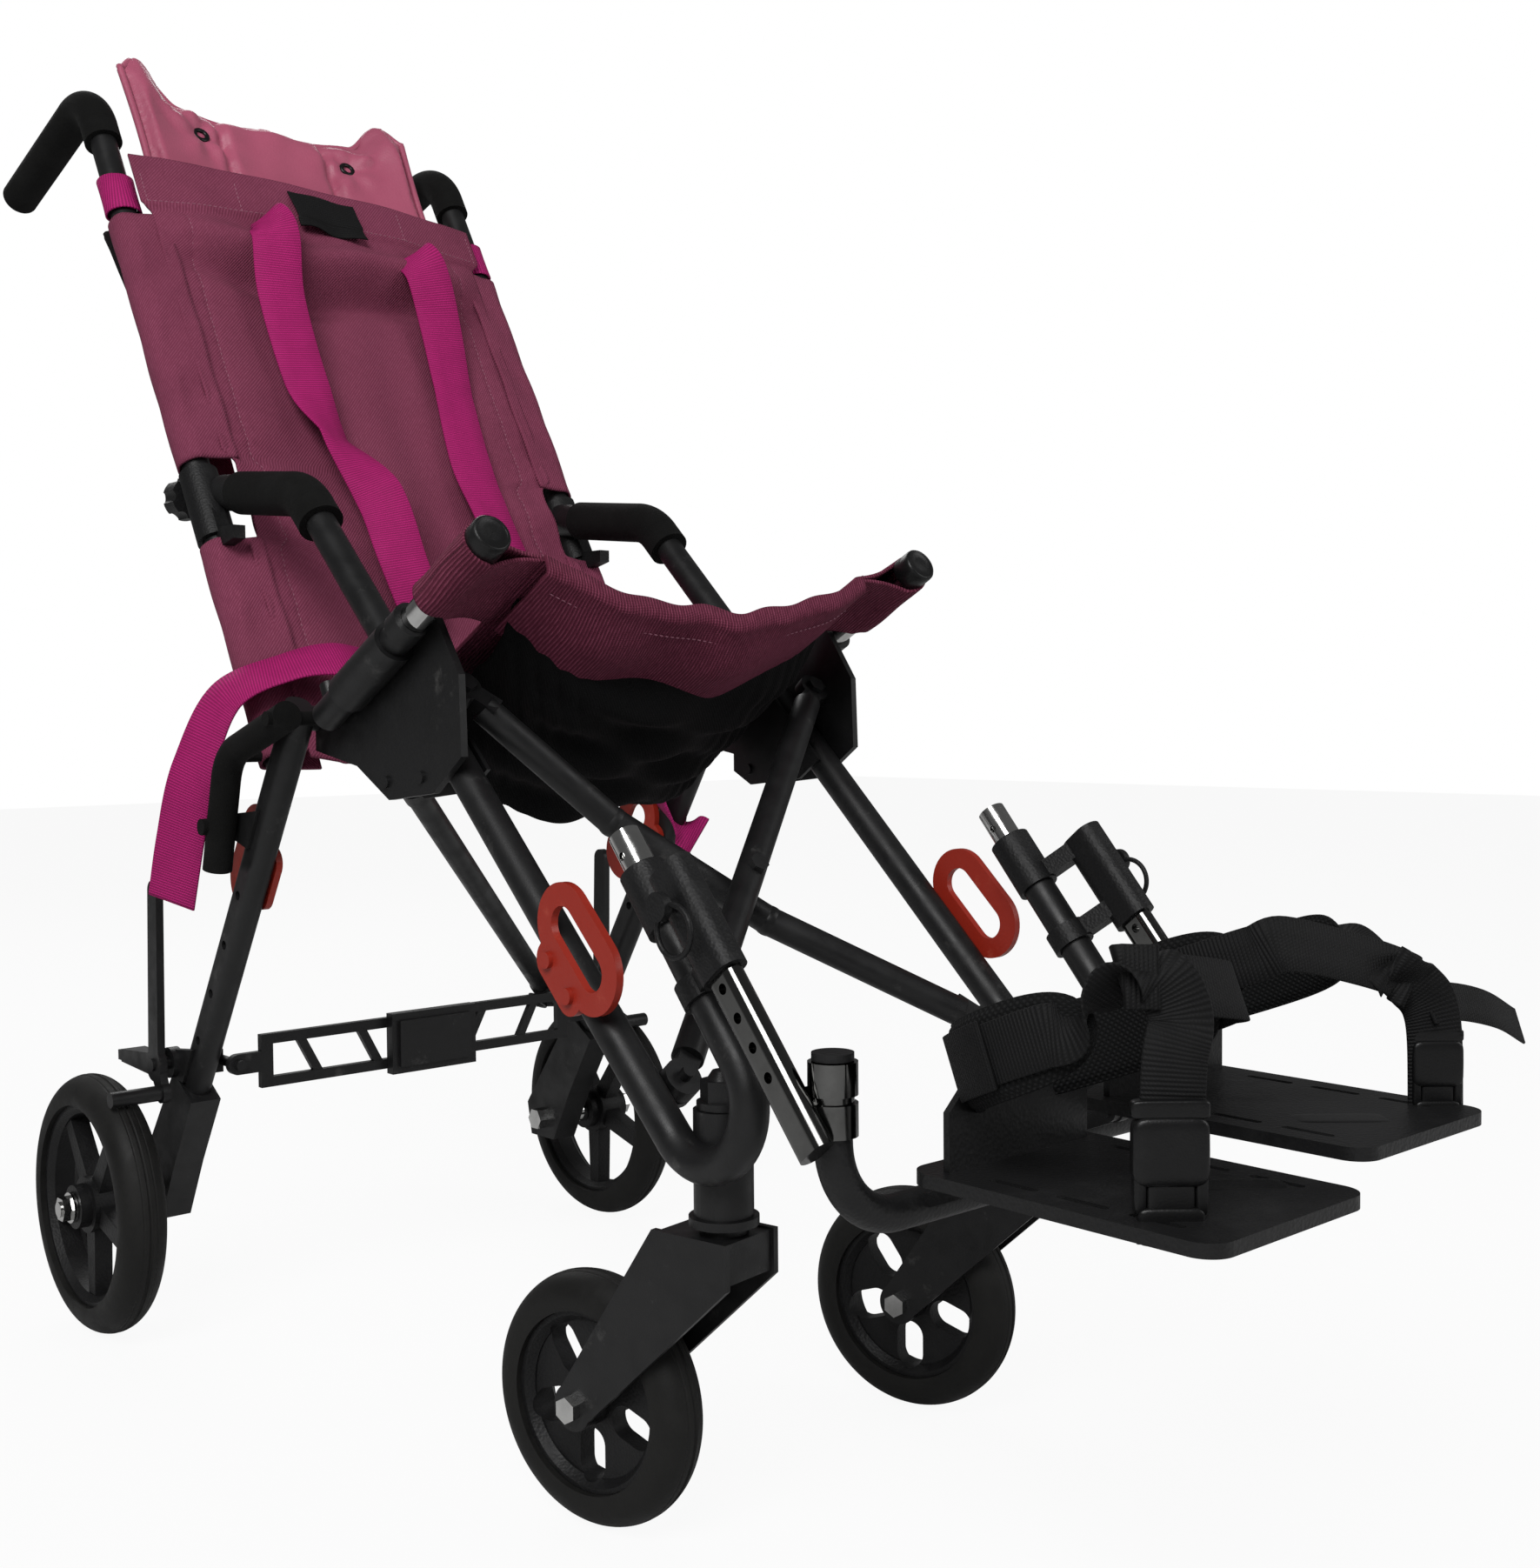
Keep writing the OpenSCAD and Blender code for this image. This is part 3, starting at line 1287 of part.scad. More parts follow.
placed() cross_tube_b();
placed() right_rear_brace();
placed() left_rear_brace();
placed() rear_stay();
placed() seat_sling();
placed() back_sling();
placed() headrest_pad();
placed() underseat_panel();
placed() harness_straps();
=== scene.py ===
"""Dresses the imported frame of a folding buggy: cloth, padding, webbing, finishes and a studio."""
import logging
import math
from dataclasses import dataclass
from enum import Enum
from typing import Sequence

import bpy
import numpy as np
from mathutils import Matrix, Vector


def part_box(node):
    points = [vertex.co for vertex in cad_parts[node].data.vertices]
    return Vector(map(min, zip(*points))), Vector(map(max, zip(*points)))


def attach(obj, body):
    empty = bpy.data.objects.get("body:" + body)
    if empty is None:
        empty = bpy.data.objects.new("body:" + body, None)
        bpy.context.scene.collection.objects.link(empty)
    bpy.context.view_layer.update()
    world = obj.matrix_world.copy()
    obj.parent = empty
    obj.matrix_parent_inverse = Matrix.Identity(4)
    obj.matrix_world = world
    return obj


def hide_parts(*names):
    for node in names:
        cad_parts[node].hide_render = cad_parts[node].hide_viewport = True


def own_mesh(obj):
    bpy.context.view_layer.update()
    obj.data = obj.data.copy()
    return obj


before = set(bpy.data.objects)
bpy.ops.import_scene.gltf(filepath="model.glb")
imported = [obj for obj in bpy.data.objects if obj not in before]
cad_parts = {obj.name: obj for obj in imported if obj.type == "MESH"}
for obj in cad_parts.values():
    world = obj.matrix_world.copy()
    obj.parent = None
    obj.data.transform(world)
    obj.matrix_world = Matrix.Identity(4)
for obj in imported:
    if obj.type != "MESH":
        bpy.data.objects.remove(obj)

Array = np.ndarray
Colour = tuple[float, float, float]
Route = Sequence[Sequence[float]]
Socket = bpy.types.NodeSocket
LOG = logging.getLogger("buggy")
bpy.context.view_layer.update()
# Sideways direction of the webbing and the buckles that hang in front of the ankles.
HANG_SIDE = np.array([0.743, -0.669, 0.0])
# Distance from stitch to stitch and radius of the thread.
STITCH_PITCH = 0.0046
THREAD_R = 0.00060
# Scale of the wave texture at which its ribs are about one unit apart.
RIB_SCALE = 0.31831


class Side(Enum):
    """A side of the buggy, with the sign of its x coordinate."""

    RIGHT = -1
    LEFT = 1

    @property
    def word(self) -> str:
        """The side's name as it stands in piece and node names."""
        return self.name.lower()


class Coords(Enum):
    """What a pattern is laid out on."""

    OBJECT = "Object"
    UV = "UV"


def middle(node: str) -> Array:
    """Middle of a CAD node's box.

    Args:
        node: the node's name.

    Returns:
        The middle point, in metres.
    """
    low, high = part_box(node)
    return (np.array(low, float) + np.array(high, float)) / 2


# The rear axle's place along the buggy, taken from the frame. Typed y distances are counted from it.
AXLE_Y = float(middle("right_rear_tyre")[1])
AXLE = np.array([0.0, AXLE_Y, 0.0])


@dataclass(frozen=True)
class SlopeFrame:
    """A sloping line in the side view: along it, across it, and x sideways."""

    y: float
    z: float
    angle: float

    @property
    def normal(self) -> Array:
        """Unit vector square to the line, to the left of its heading."""
        a = math.radians(self.angle)
        return np.array([0.0, -math.sin(a), math.cos(a)])

    def place(self, x: Array, along: Array, off: Array) -> Array:
        """Points from sideways, along and across distances.

        Args:
            x: sideways distance in metres.
            along: distance up the line.
            off: distance square to the line, to the left of its heading.

        Returns:
            An array of points with a last axis of 3.
        """
        c, s = math.cos(math.radians(self.angle)), math.sin(math.radians(self.angle))
        x, along, off = np.broadcast_arrays(np.asarray(x, float), along, off)
        return np.stack([x, AXLE_Y + self.y + along * c - off * s, self.z + along * s + off * c], axis=-1)

    def measure(self, pts: Array) -> tuple[Array, Array]:
        """Distances of points along the line and square to it, the reverse of place.

        Args:
            pts: points of shape (n, 3).

        Returns:
            The distances along the line and square to it.
        """
        c, s = math.cos(math.radians(self.angle)), math.sin(math.radians(self.angle))
        y, z = pts[:, 1] - AXLE_Y - self.y, pts[:, 2] - self.z
        return y * c + z * s, z * c - y * s


# The lines of the back posts and of the seat tubes, and how far both stand from the middle.
BACK = SlopeFrame(-0.165, 0.470, 60.0)
SEAT = SlopeFrame(-0.277, 0.483, 152.3)
POST_X = 0.172
SEAT_X = 0.187


def smooth(t: Array) -> Array:
    """The curve 3t^2 - 2t^3, held at 0 and 1 outside its range."""
    t = np.clip(t, 0.0, 1.0)
    return t * t * (3.0 - 2.0 * t)


def bump(t: Array, centre: float | Array, width: float) -> Array:
    """A bell, exp(-((t - centre) / width)^2)."""
    return np.exp(-(((t - centre) / width) ** 2))


def spline(points: Route, count: int) -> Array:
    """A smooth line through points, as a Catmull-Rom curve evaluated in one go.

    Args:
        points: control points.
        count: number of samples, evenly spread over the control points.

    Returns:
        An array of count points.
    """
    p = np.asarray(points, float)
    p = np.vstack([2 * p[0] - p[1], p, 2 * p[-1] - p[-2]])
    t = np.linspace(0, len(p) - 3 - 1e-9, count)
    i = t.astype(int)
    f = (t - i)[:, None]
    a, b, c, d = p[i], p[i + 1], p[i + 2], p[i + 3]
    return 0.5 * (2 * b + (c - a) * f + (2 * a - 5 * b + 4 * c - d) * f**2 + (3 * b - a - 3 * c + d) * f**3)


def unit(v: Array) -> Array:
    """Vectors scaled to length 1 along the last axis."""
    return v / np.maximum(np.linalg.norm(v, axis=-1, keepdims=True), 1e-12)


def signed_power(t: Array, power: float) -> Array:
    """The curve |t|^power with the sign of t."""
    return np.sign(t) * np.abs(t) ** power


def turns(count: int) -> Array:
    """Angles once round, evenly spread, from 0."""
    return np.linspace(0, 2 * np.pi, count, endpoint=False)


def pairs(across: Array, along: Array) -> Array:
    """Flat positions from distances across and along, spread to one shape."""
    return np.stack(np.broadcast_arrays(across, along), axis=-1)


def run_length(path: Array) -> Array:
    """Distance run along a line of points, from 0 at the first."""
    return np.concatenate([[0], np.cumsum(np.linalg.norm(np.diff(path, axis=0), axis=-1))])


class MeshMaker:
    """Gathers numpy grids into one mesh object."""

    def __init__(self, name: str) -> None:
        """Starts an empty piece.

        Args:
            name: the finished object's name.
        """
        self.name = name
        self.points: list[Array] = []
        self.uvs: list[Array] = []
        self.quads: list[Array] = []
        self.count = 0

    def add(self, pts: Array, uv: Array, quads: Array) -> None:
        """Adds points and the quads between them.

        Args:
            pts: points, with a last axis of 3.
            uv: their flat positions in metres, with a last axis of 2.
            quads: four points of each quad, counted from the first of pts.
        """
        self.quads.append(quads.reshape(-1, 4) + self.count)
        self.points.append(pts.reshape(-1, 3))
        self.uvs.append(uv.reshape(-1, 2))
        self.count += len(self.points[-1])

    def grid(self, pts: Array, uv: Array | None = None, wrap: bool = False, caps: bool = False) -> None:
        """Adds a grid of points as quads.

        Args:
            pts: points of shape (rows, columns, 3).
            uv: flat positions in metres of shape (rows, columns, 2), or None.
            wrap: True where the last column joins the first.
            caps: True to close the first and last rows of a wrapped grid with strips across them.
        """
        rows, cols = pts.shape[:2]
        i, j = np.meshgrid(np.arange(rows - 1), np.arange(cols if wrap else cols - 1), indexing="ij")
        k = (j + 1) % cols
        low, high = i * cols, (i + 1) * cols
        quads = [np.stack([low + j, low + k, high + k, high + j], axis=-1).reshape(-1, 4)]
        if wrap and caps:
            m = np.arange(cols // 2 - 1)
            strip = np.stack([m, cols - 1 - m, cols - 2 - m, m + 1], axis=-1)
            quads += [strip, strip[:, ::-1] + (rows - 1) * cols]
        self.add(pts, np.zeros((rows, cols, 2)) if uv is None else uv, np.vstack(quads))

    def build(self, material: bpy.types.Material) -> bpy.types.Object:
        """Makes the object, with smooth shading.

        Args:
            material: its finish.

        Returns:
            The new object, at the origin.
        """
        pts = np.vstack(self.points)
        quads = np.vstack(self.quads)
        mesh = bpy.data.meshes.new(self.name)
        mesh.from_pydata(pts, [], quads.tolist())
        corner = np.empty(len(mesh.loops), dtype=np.int32)
        mesh.loops.foreach_get("vertex_index", corner)
        layer = mesh.uv_layers.new(name="flat")
        layer.data.foreach_set("uv", np.vstack(self.uvs)[corner].astype(np.float32).ravel())
        mesh.polygons.foreach_set("use_smooth", np.full(len(mesh.polygons), True))
        mesh.materials.append(material)
        mesh.validate()
        mesh.update()
        obj = bpy.data.objects.new(self.name, mesh)
        bpy.context.scene.collection.objects.link(obj)
        return obj


def flat_lengths(pts: Array) -> Array:
    """Flat positions of a cloth grid: mean distance run along its rows and its columns.

    Args:
        pts: points of shape (rows, columns, 3).

    Returns:
        Flat positions of shape (rows, columns, 2), in metres.
    """
    across = np.linalg.norm(np.diff(pts, axis=1), axis=-1).mean(axis=0)
    along = np.linalg.norm(np.diff(pts, axis=0), axis=-1).mean(axis=1)
    u = np.concatenate([[0], np.cumsum(across)])
    v = np.concatenate([[0], np.cumsum(along)])
    return np.stack(np.meshgrid(u, v), axis=-1)


def thicken(obj: bpy.types.Object, thickness: float) -> bpy.types.Object:
    """Gives a sheet its thickness with a modifier, half of it to each side.

    Args:
        obj: the sheet.
        thickness: in metres.

    Returns:
        The object.
    """
    wall = obj.modifiers.new("thickness", "SOLIDIFY")
    wall.thickness = thickness
    wall.offset = 0.0
    wall.use_even_offset = False
    return obj


def ribbon(maker: MeshMaker, path: Array, side: Array, width: float, thick: float,
           taper: float | Array = 1.0) -> None:
    """A flat strap: a rounded rectangle of 12 points carried along a path.

    Args:
        maker: what the strap is added to.
        path: middle line, shape (n, 3).
        side: sideways direction at each point, shape (n, 3).
        width: strap width.
        thick: strap thickness.
        taper: share of the width, one for all or one for each point.
    """
    tangent = unit(np.gradient(path, axis=0))
    side = unit(side - tangent * np.sum(side * tangent, axis=-1, keepdims=True))
    normal = np.cross(side, tangent)
    w, t = width / 2, thick / 2
    c = 0.6 * t
    across = np.array([-w, -w + c, -w / 3, w / 3, w - c, w, w, w - c, w / 3, -w / 3, -w + c, -w])
    lift = np.array([-t + c, -t, -t, -t, -t, -t + c, t - c, t, t, t, t, t - c])
    reach = np.broadcast_to(taper, len(path))[:, None] * across
    pts = path[:, None] + side[:, None] * reach[..., None] + normal[:, None] * lift[None, :, None]
    uv = pairs(across + w, run_length(path)[:, None])
    maker.grid(pts, uv, wrap=True, caps=True)


def tube(maker: MeshMaker, path: Array, radius: float, sides: int) -> None:
    """A round cord: a circle carried along a path with a fixed up vector.

    Args:
        maker: what the cord is added to.
        path: middle line, shape (n, 3).
        radius: its radius.
        sides: points round it.
    """
    tangent = unit(np.gradient(path, axis=0))
    guide = np.where(np.abs(tangent[:, 2:]) > 0.9, np.array([1.0, 0, 0]), np.array([0, 0, 1.0]))
    right = unit(np.cross(tangent, guide))
    up = np.cross(right, tangent)
    a = turns(sides)
    ring = right[:, None] * np.cos(a)[None, :, None] + up[:, None] * np.sin(a)[None, :, None]
    uv = pairs(a * radius, run_length(path)[:, None])
    maker.grid(path[:, None] + ring * radius, uv, wrap=True, caps=True)


def rounded_box(maker: MeshMaker, centre: Array, axes: Array, size: Sequence[float], power: float) -> None:
    """A soft-edged block: the superellipsoid |x|^p + |y|^p + |z|^p = 1, stretched along three axes.

    Args:
        maker: what the block is added to.
        centre: its middle.
        axes: three unit vectors as rows.
        size: full lengths along the axes.
        power: p; larger is boxier.
    """
    pole = np.pi / 2 - 0.02
    lat = np.linspace(-pole, pole, 17)[:, None]
    lon = turns(32)[None, :]
    e = 2.0 / power
    girth = signed_power(np.cos(lat), e)
    x = girth * signed_power(np.cos(lon), e)
    y = girth * signed_power(np.sin(lon), e)
    z = signed_power(np.sin(lat), e) * np.ones_like(lon)
    local = np.stack([x * size[0] / 2, y * size[1] / 2, z * size[2] / 2], axis=-1)
    maker.grid(np.asarray(centre) + local @ np.asarray(axes), local[..., :2], wrap=True, caps=True)


def stitches(maker: MeshMaker, line: Array, normal: Array) -> None:
    """A sewn row: short pads of thread spaced along a line, each a six-sided rod of three rings.

    Args:
        maker: what the thread is added to.
        line: the seam, shape (n, 3), on the cloth.
        normal: outward direction, shape (n, 3).
    """
    sides = 6
    run = run_length(line)
    centres = np.arange(STITCH_PITCH, run[-1] - STITCH_PITCH, STITCH_PITCH)

    def sample(values: Array) -> Array:
        """Values of the seam, read at the middle of each stitch."""
        return np.stack([np.interp(centres, run, values[:, k]) for k in range(3)], axis=-1)

    at = sample(line)
    up = unit(sample(normal))
    along = unit(sample(np.gradient(line, run, axis=0)))
    side = np.cross(along, up)
    a = turns(sides)[:, None]
    reach = np.array([-0.5, 0.0, 0.5])[:, None, None] * STITCH_PITCH * 0.66
    thick = np.array([0.35, 1.0, 0.35])[:, None, None] * THREAD_R
    ring = side[:, None, None] * np.cos(a) + up[:, None, None] * np.sin(a)
    pts = at[:, None, None] + along[:, None, None] * reach + ring * thick
    i, j, k = np.meshgrid(np.arange(len(at)), np.arange(2), np.arange(sides), indexing="ij")
    m = (k + 1) % sides
    low = (3 * i + j) * sides
    quads = np.stack([low + k, low + m, low + sides + m, low + sides + k], axis=-1)
    maker.add(pts, np.zeros((*pts.shape[:3], 2)), quads)


def math_node(tree: bpy.types.NodeTree, operation: str, a: Socket | float, b: Socket | float) -> Socket:
    """One arithmetic step in a node tree.

    Args:
        tree: where the node goes.
        operation: the node's own name for the step.
        a: first socket or number.
        b: second socket or number.

    Returns:
        The result's socket.
    """
    node = tree.nodes.new("ShaderNodeMath")
    node.operation = operation
    for slot, value in zip(node.inputs, (a, b)):
        if isinstance(value, (int, float)):
            slot.default_value = value
        else:
            tree.links.new(value, slot)
    return node.outputs[0]


class Shader:
    """A short-hand for building one node material."""

    def __init__(self, name: str) -> None:
        """Starts a material with its surface shader.

        Args:
            name: the material's name.
        """
        self.material = bpy.data.materials.new(name)
        self.material.use_nodes = True
        self.tree = self.material.node_tree
        self.surface = self.tree.nodes["Principled BSDF"]

    def set(self, **values: object) -> None:
        """Sets sockets of the surface shader by name, with underscores for spaces."""
        for key, value in values.items():
            self.surface.inputs[key.replace("_", " ")].default_value = value

    def link(self, key: str, socket: Socket) -> None:
        """Drives one socket of the surface shader."""
        self.tree.links.new(socket, self.surface.inputs[key])

    def coords(self, kind: Coords, scale: Sequence[float] = (1, 1, 1), turn: float = 0.0) -> Socket:
        """Pattern coordinates, scaled and turned about z.

        Args:
            kind: what the pattern is laid out on.
            scale: repeats per metre along each axis.
            turn: turn in degrees.

        Returns:
            The vector socket.
        """
        source = self.tree.nodes.new("ShaderNodeTexCoord")
        mapping = self.tree.nodes.new("ShaderNodeMapping")
        mapping.inputs["Scale"].default_value = scale
        mapping.inputs["Rotation"].default_value = (0, 0, math.radians(turn))
        self.tree.links.new(source.outputs[kind.value], mapping.inputs["Vector"])
        return mapping.outputs["Vector"]

    def noise(self, vector: Socket, scale: float, detail: float = 3.0, rough: float = 0.5) -> Socket:
        """Smooth noise from 0 to 1.

        Args:
            vector: pattern coordinates.
            scale: repeats per unit.
            detail: how many finer layers are added.
            rough: strength of each finer layer.

        Returns:
            The noise's socket.
        """
        node = self.tree.nodes.new("ShaderNodeTexNoise")
        node.inputs["Scale"].default_value = scale
        node.inputs["Detail"].default_value = detail
        node.inputs["Roughness"].default_value = rough
        self.tree.links.new(vector, node.inputs["Vector"])
        return node.outputs["Fac"]

    def cells(self, vector: Socket, scale: float) -> Socket:
        """Distance to the nearest of scattered points.

        Args:
            vector: pattern coordinates.
            scale: points per unit.

        Returns:
            The distance's socket.
        """
        node = self.tree.nodes.new("ShaderNodeTexVoronoi")
        node.inputs["Scale"].default_value = scale
        self.tree.links.new(vector, node.inputs["Vector"])
        return node.outputs["Distance"]

    def ribs(self, vector: Socket, warp: float) -> Socket:
        """Parallel ribs across x, about one per unit, from 0 to 1.

        Args:
            vector: pattern coordinates.
            warp: how far noise bends the ribs.

        Returns:
            The ribs' socket.
        """
        node = self.tree.nodes.new("ShaderNodeTexWave")
        node.wave_type = "BANDS"
        node.bands_direction = "X"
        node.inputs["Scale"].default_value = RIB_SCALE
        node.inputs["Distortion"].default_value = warp
        node.inputs["Detail"].default_value = 1.0
        node.inputs["Detail Scale"].default_value = 0.6
        self.tree.links.new(vector, node.inputs["Vector"])
        return node.outputs["Fac"]

    def math(self, operation: str, a: Socket | float, b: Socket | float) -> Socket:
        """One arithmetic step on sockets or numbers."""
        return math_node(self.tree, operation, a, b)

    def spread(self, value: Socket, low: float, high: float, to_low: float = 0.0,
               to_high: float = 1.0) -> Socket:
        """A value stretched from one range to another, held at the ends.

        Args:
            value: what is stretched.
            low: start of its range.
            high: end of its range.
            to_low: start of the new range.
            to_high: end of the new range.

        Returns:
            The stretched value's socket.
        """
        node = self.tree.nodes.new("ShaderNodeMapRange")
        for key, number in zip(("From Min", "From Max", "To Min", "To Max"), (low, high, to_low, to_high)):
            node.inputs[key].default_value = number
        self.tree.links.new(value, node.inputs["Value"])
        return node.outputs["Result"]

    def mix(self, factor: Socket, a: Socket | Colour, b: Socket | Colour) -> Socket:
        """Two colours mixed by a factor.

        Args:
            factor: share of the second.
            a: first colour or socket.
            b: second colour or socket.

        Returns:
            The mixed colour's socket.
        """
        node = self.tree.nodes.new("ShaderNodeMix")
        node.data_type = "RGBA"
        self.tree.links.new(factor, node.inputs["Factor"])
        for slot, value in zip((node.inputs[6], node.inputs[7]), (a, b)):
            if isinstance(value, tuple):
                slot.default_value = (*value, 1.0)
            else:
                self.tree.links.new(value, slot)
        return node.outputs[2]

    def relief(self, height: Socket, depth: float, strength: float, below: Socket | None = None) -> Socket:
        """Bump from a height pattern.

        Args:
            height: the pattern, 0 to 1.
            depth: its depth in metres.
            strength: share of the effect.
            below: another bump to add to, or None.

        Returns:
            The normal socket.
        """
        node = self.tree.nodes.new("ShaderNodeBump")
        node.inputs["Strength"].default_value = strength
        node.inputs["Distance"].default_value = depth
        self.tree.links.new(height, node.inputs["Height"])
        if below is not None:
            self.tree.links.new(below, node.inputs["Normal"])
        return node.outputs["Normal"]


@dataclass(frozen=True)
class Finish:
    """A finish with a name and a main colour in linear light."""

    name: str
    colour: Colour

    def darker(self, share: float) -> Colour:
        """The main colour scaled to a share of itself."""
        return tuple(c * share for c in self.colour)

    def paler(self, by: float) -> Colour:
        """The main colour with the same amount added to each channel."""
        return tuple(c + by for c in self.colour)

    def make(self) -> bpy.types.Material:
        """Builds the node material.

        Returns:
            The material.
        """
        raise NotImplementedError


@dataclass(frozen=True)
class PowderCoat(Finish):
    """Satin paint on metal: fine orange peel, dust in the low spots and scuffs worn towards grey."""

    worn: Colour = (0.040, 0.039, 0.038)
    roughness: float = 0.42

    def make(self) -> bpy.types.Material:
        """Builds the node material.

        Returns:
            The material.
        """
        s = Shader(self.name)
        at = s.coords(Coords.OBJECT)
        peel = s.noise(at, 900.0, 2.0)
        scuff = s.spread(s.noise(at, 38.0, 8.0, 0.72), 0.60, 0.74)
        dust = s.spread(s.noise(at, 9.0, 5.0, 0.6), 0.42, 0.72, 0.0, 0.35)
        s.link("Base Color", s.mix(scuff, s.mix(dust, self.colour, self.paler(0.004)), self.worn))
        wear = s.noise(at, 60.0, 4.0)
        s.link("Roughness", s.spread(wear, 0.3, 0.7, self.roughness - 0.08, self.roughness + 0.12))
        s.link("Normal", s.relief(peel, 0.0002, 0.35))
        s.set(Specular_IOR_Level=0.30)
        return s.material


@dataclass(frozen=True)
class Chrome(Finish):
    """Bright plate with faint hairlines, smears and pits."""

    def make(self) -> bpy.types.Material:
        """Builds the node material.

        Returns:
            The material.
        """
        s = Shader(self.name)
        at = s.coords(Coords.OBJECT)
        hair = s.noise(s.coords(Coords.OBJECT, (900, 900, 40)), 1.0, 4.0)
        smear = s.spread(s.noise(at, 30.0, 5.0, 0.65), 0.45, 0.75)
        s.link("Base Color", s.mix(smear, self.colour, self.darker(0.72)))
        s.link("Roughness", s.spread(smear, 0.0, 1.0, 0.07, 0.28))
        s.link("Normal", s.relief(hair, 0.00005, 0.25))
        s.set(Metallic=1.0)
        return s.material


@dataclass(frozen=True)
class Foam(Finish):
    """Closed-cell foam: tiny open pores and a dull grey bloom."""

    def make(self) -> bpy.types.Material:
        """Builds the node material.

        Returns:
            The material.
        """
        s = Shader(self.name)
        at = s.coords(Coords.OBJECT)
        pores = s.cells(at, 1100.0)
        lumps = s.noise(at, 140.0, 4.0, 0.6)
        bloom = s.spread(s.noise(at, 24.0, 6.0, 0.7), 0.45, 0.75)
        s.link("Base Color", s.mix(bloom, self.colour, self.paler(0.003)))
        s.link("Normal", s.relief(lumps, 0.0006, 0.35, s.relief(pores, 0.0004, 0.5)))
        s.set(Roughness=0.88, Specular_IOR_Level=0.1, Sheen_Weight=0.008, Sheen_Roughness=0.5)
        return s.material


@dataclass(frozen=True)
class Tyre(Finish):
    """Solid rubber: fine mould grain and pale dust."""

    def make(self) -> bpy.types.Material:
        """Builds the node material.

        Returns:
            The material.
        """
        s = Shader(self.name)
        at = s.coords(Coords.OBJECT)
        grain = s.noise(at, 700.0, 3.0)
        dust = s.spread(s.noise(at, 26.0, 7.0, 0.7), 0.42, 0.74, 0.0, 0.6)
        s.link("Base Color", s.mix(dust, self.colour, (0.017, 0.0165, 0.0155)))
        s.link("Roughness", s.spread(dust, 0.0, 0.6, 0.55, 0.85))
        s.link("Normal", s.relief(grain, 0.0003, 0.4))
        s.set(Specular_IOR_Level=0.20)
        return s.material


@dataclass(frozen=True)
class Moulded(Finish):
    """Moulded plastic with a spark-eroded grain."""

    grain: float = 520.0
    depth: float = 0.0004
    roughness: float = 0.5

    def make(self) -> bpy.types.Material:
        """Builds the node material.

        Returns:
            The material.
        """
        s = Shader(self.name)
        at = s.coords(Coords.OBJECT)
        cells = s.cells(at, self.grain)
        rub = s.spread(s.noise(at, 22.0, 7.0, 0.7), 0.5, 0.76)
        s.link("Base Color", s.mix(rub, self.colour, self.paler(0.006)))
        s.link("Roughness", s.spread(rub, 0.0, 1.0, self.roughness, self.roughness + 0.2))
        s.link("Normal", s.relief(cells, self.depth, 0.5))
        s.set(Specular_IOR_Level=0.24)
        return s.material


@dataclass(frozen=True)
class Twill(Finish):
    """Heavy twill: slanting ribs of two thread shades, with rubbed patches and fine nap."""

    pale: Colour = (0.30, 0.085, 0.145)
    pitch: float = 0.0019
    slant: float = 38.0
    depth: float = 0.0005
    contrast: float = 0.75

    def make(self) -> bpy.types.Material:
        """Builds the node material.

        Returns:
            The material.
        """
        s = Shader(self.name)
        flat = s.coords(Coords.UV)
        warps = 1 / self.pitch
        wefts = warps * 1.6
        rib = s.ribs(s.coords(Coords.UV, (warps, warps, 1), self.slant), 0.5)
        weft = s.ribs(s.coords(Coords.UV, (wefts, wefts, 1), self.slant + 82), 0.3)
        slub = s.noise(s.coords(Coords.UV, (700, 160, 1), self.slant), 1.0, 3.0)
        rub = s.noise(flat, 7.0, 6.0, 0.62)
        fleck = s.math("MULTIPLY", rib, s.spread(slub, 0.3, 0.7, 0.45, 1.0))
        base = s.mix(s.spread(fleck, 0.25, 0.95, 0.0, self.contrast), self.colour, self.pale)
        s.link("Base Color", s.mix(s.spread(rub, 0.52, 0.30, 0.0, 0.45), base, self.darker(0.62)))
        weave = s.math("ADD", s.math("MULTIPLY", rib, 0.75), s.math("MULTIPLY", weft, 0.25))
        crease = s.relief(s.noise(flat, 34.0, 5.0, 0.6), 0.0025, 0.35)
        s.link("Normal", s.relief(weave, self.depth, 0.8, crease))
        s.set(Roughness=0.9, Specular_IOR_Level=0.10, Sheen_Weight=0.014, Sheen_Roughness=0.45,
              Sheen_Tint=(0.8, 0.45, 0.55, 1.0))
        return s.material


@dataclass(frozen=True)
class Vinyl(Finish):
    """Soft vinyl: a fine leather grain, small creases and a low gloss."""

    def make(self) -> bpy.types.Material:
        """Builds the node material.

        Returns:
            The material.
        """
        s = Shader(self.name)
        at = s.coords(Coords.OBJECT)
        grain = s.cells(at, 520.0)
        crease = s.noise(at, 46.0, 6.0, 0.62)
        tone = s.spread(s.noise(at, 11.0, 4.0), 0.35, 0.7)
        s.link("Base Color", s.mix(tone, self.colour, self.darker(0.86)))
        s.link("Roughness", s.spread(crease, 0.3, 0.7, 0.42, 0.58))
        s.link("Normal", s.relief(grain, 0.00035, 0.45, s.relief(crease, 0.002, 0.22)))
        s.set(Sheen_Weight=0.05)
        return s.material


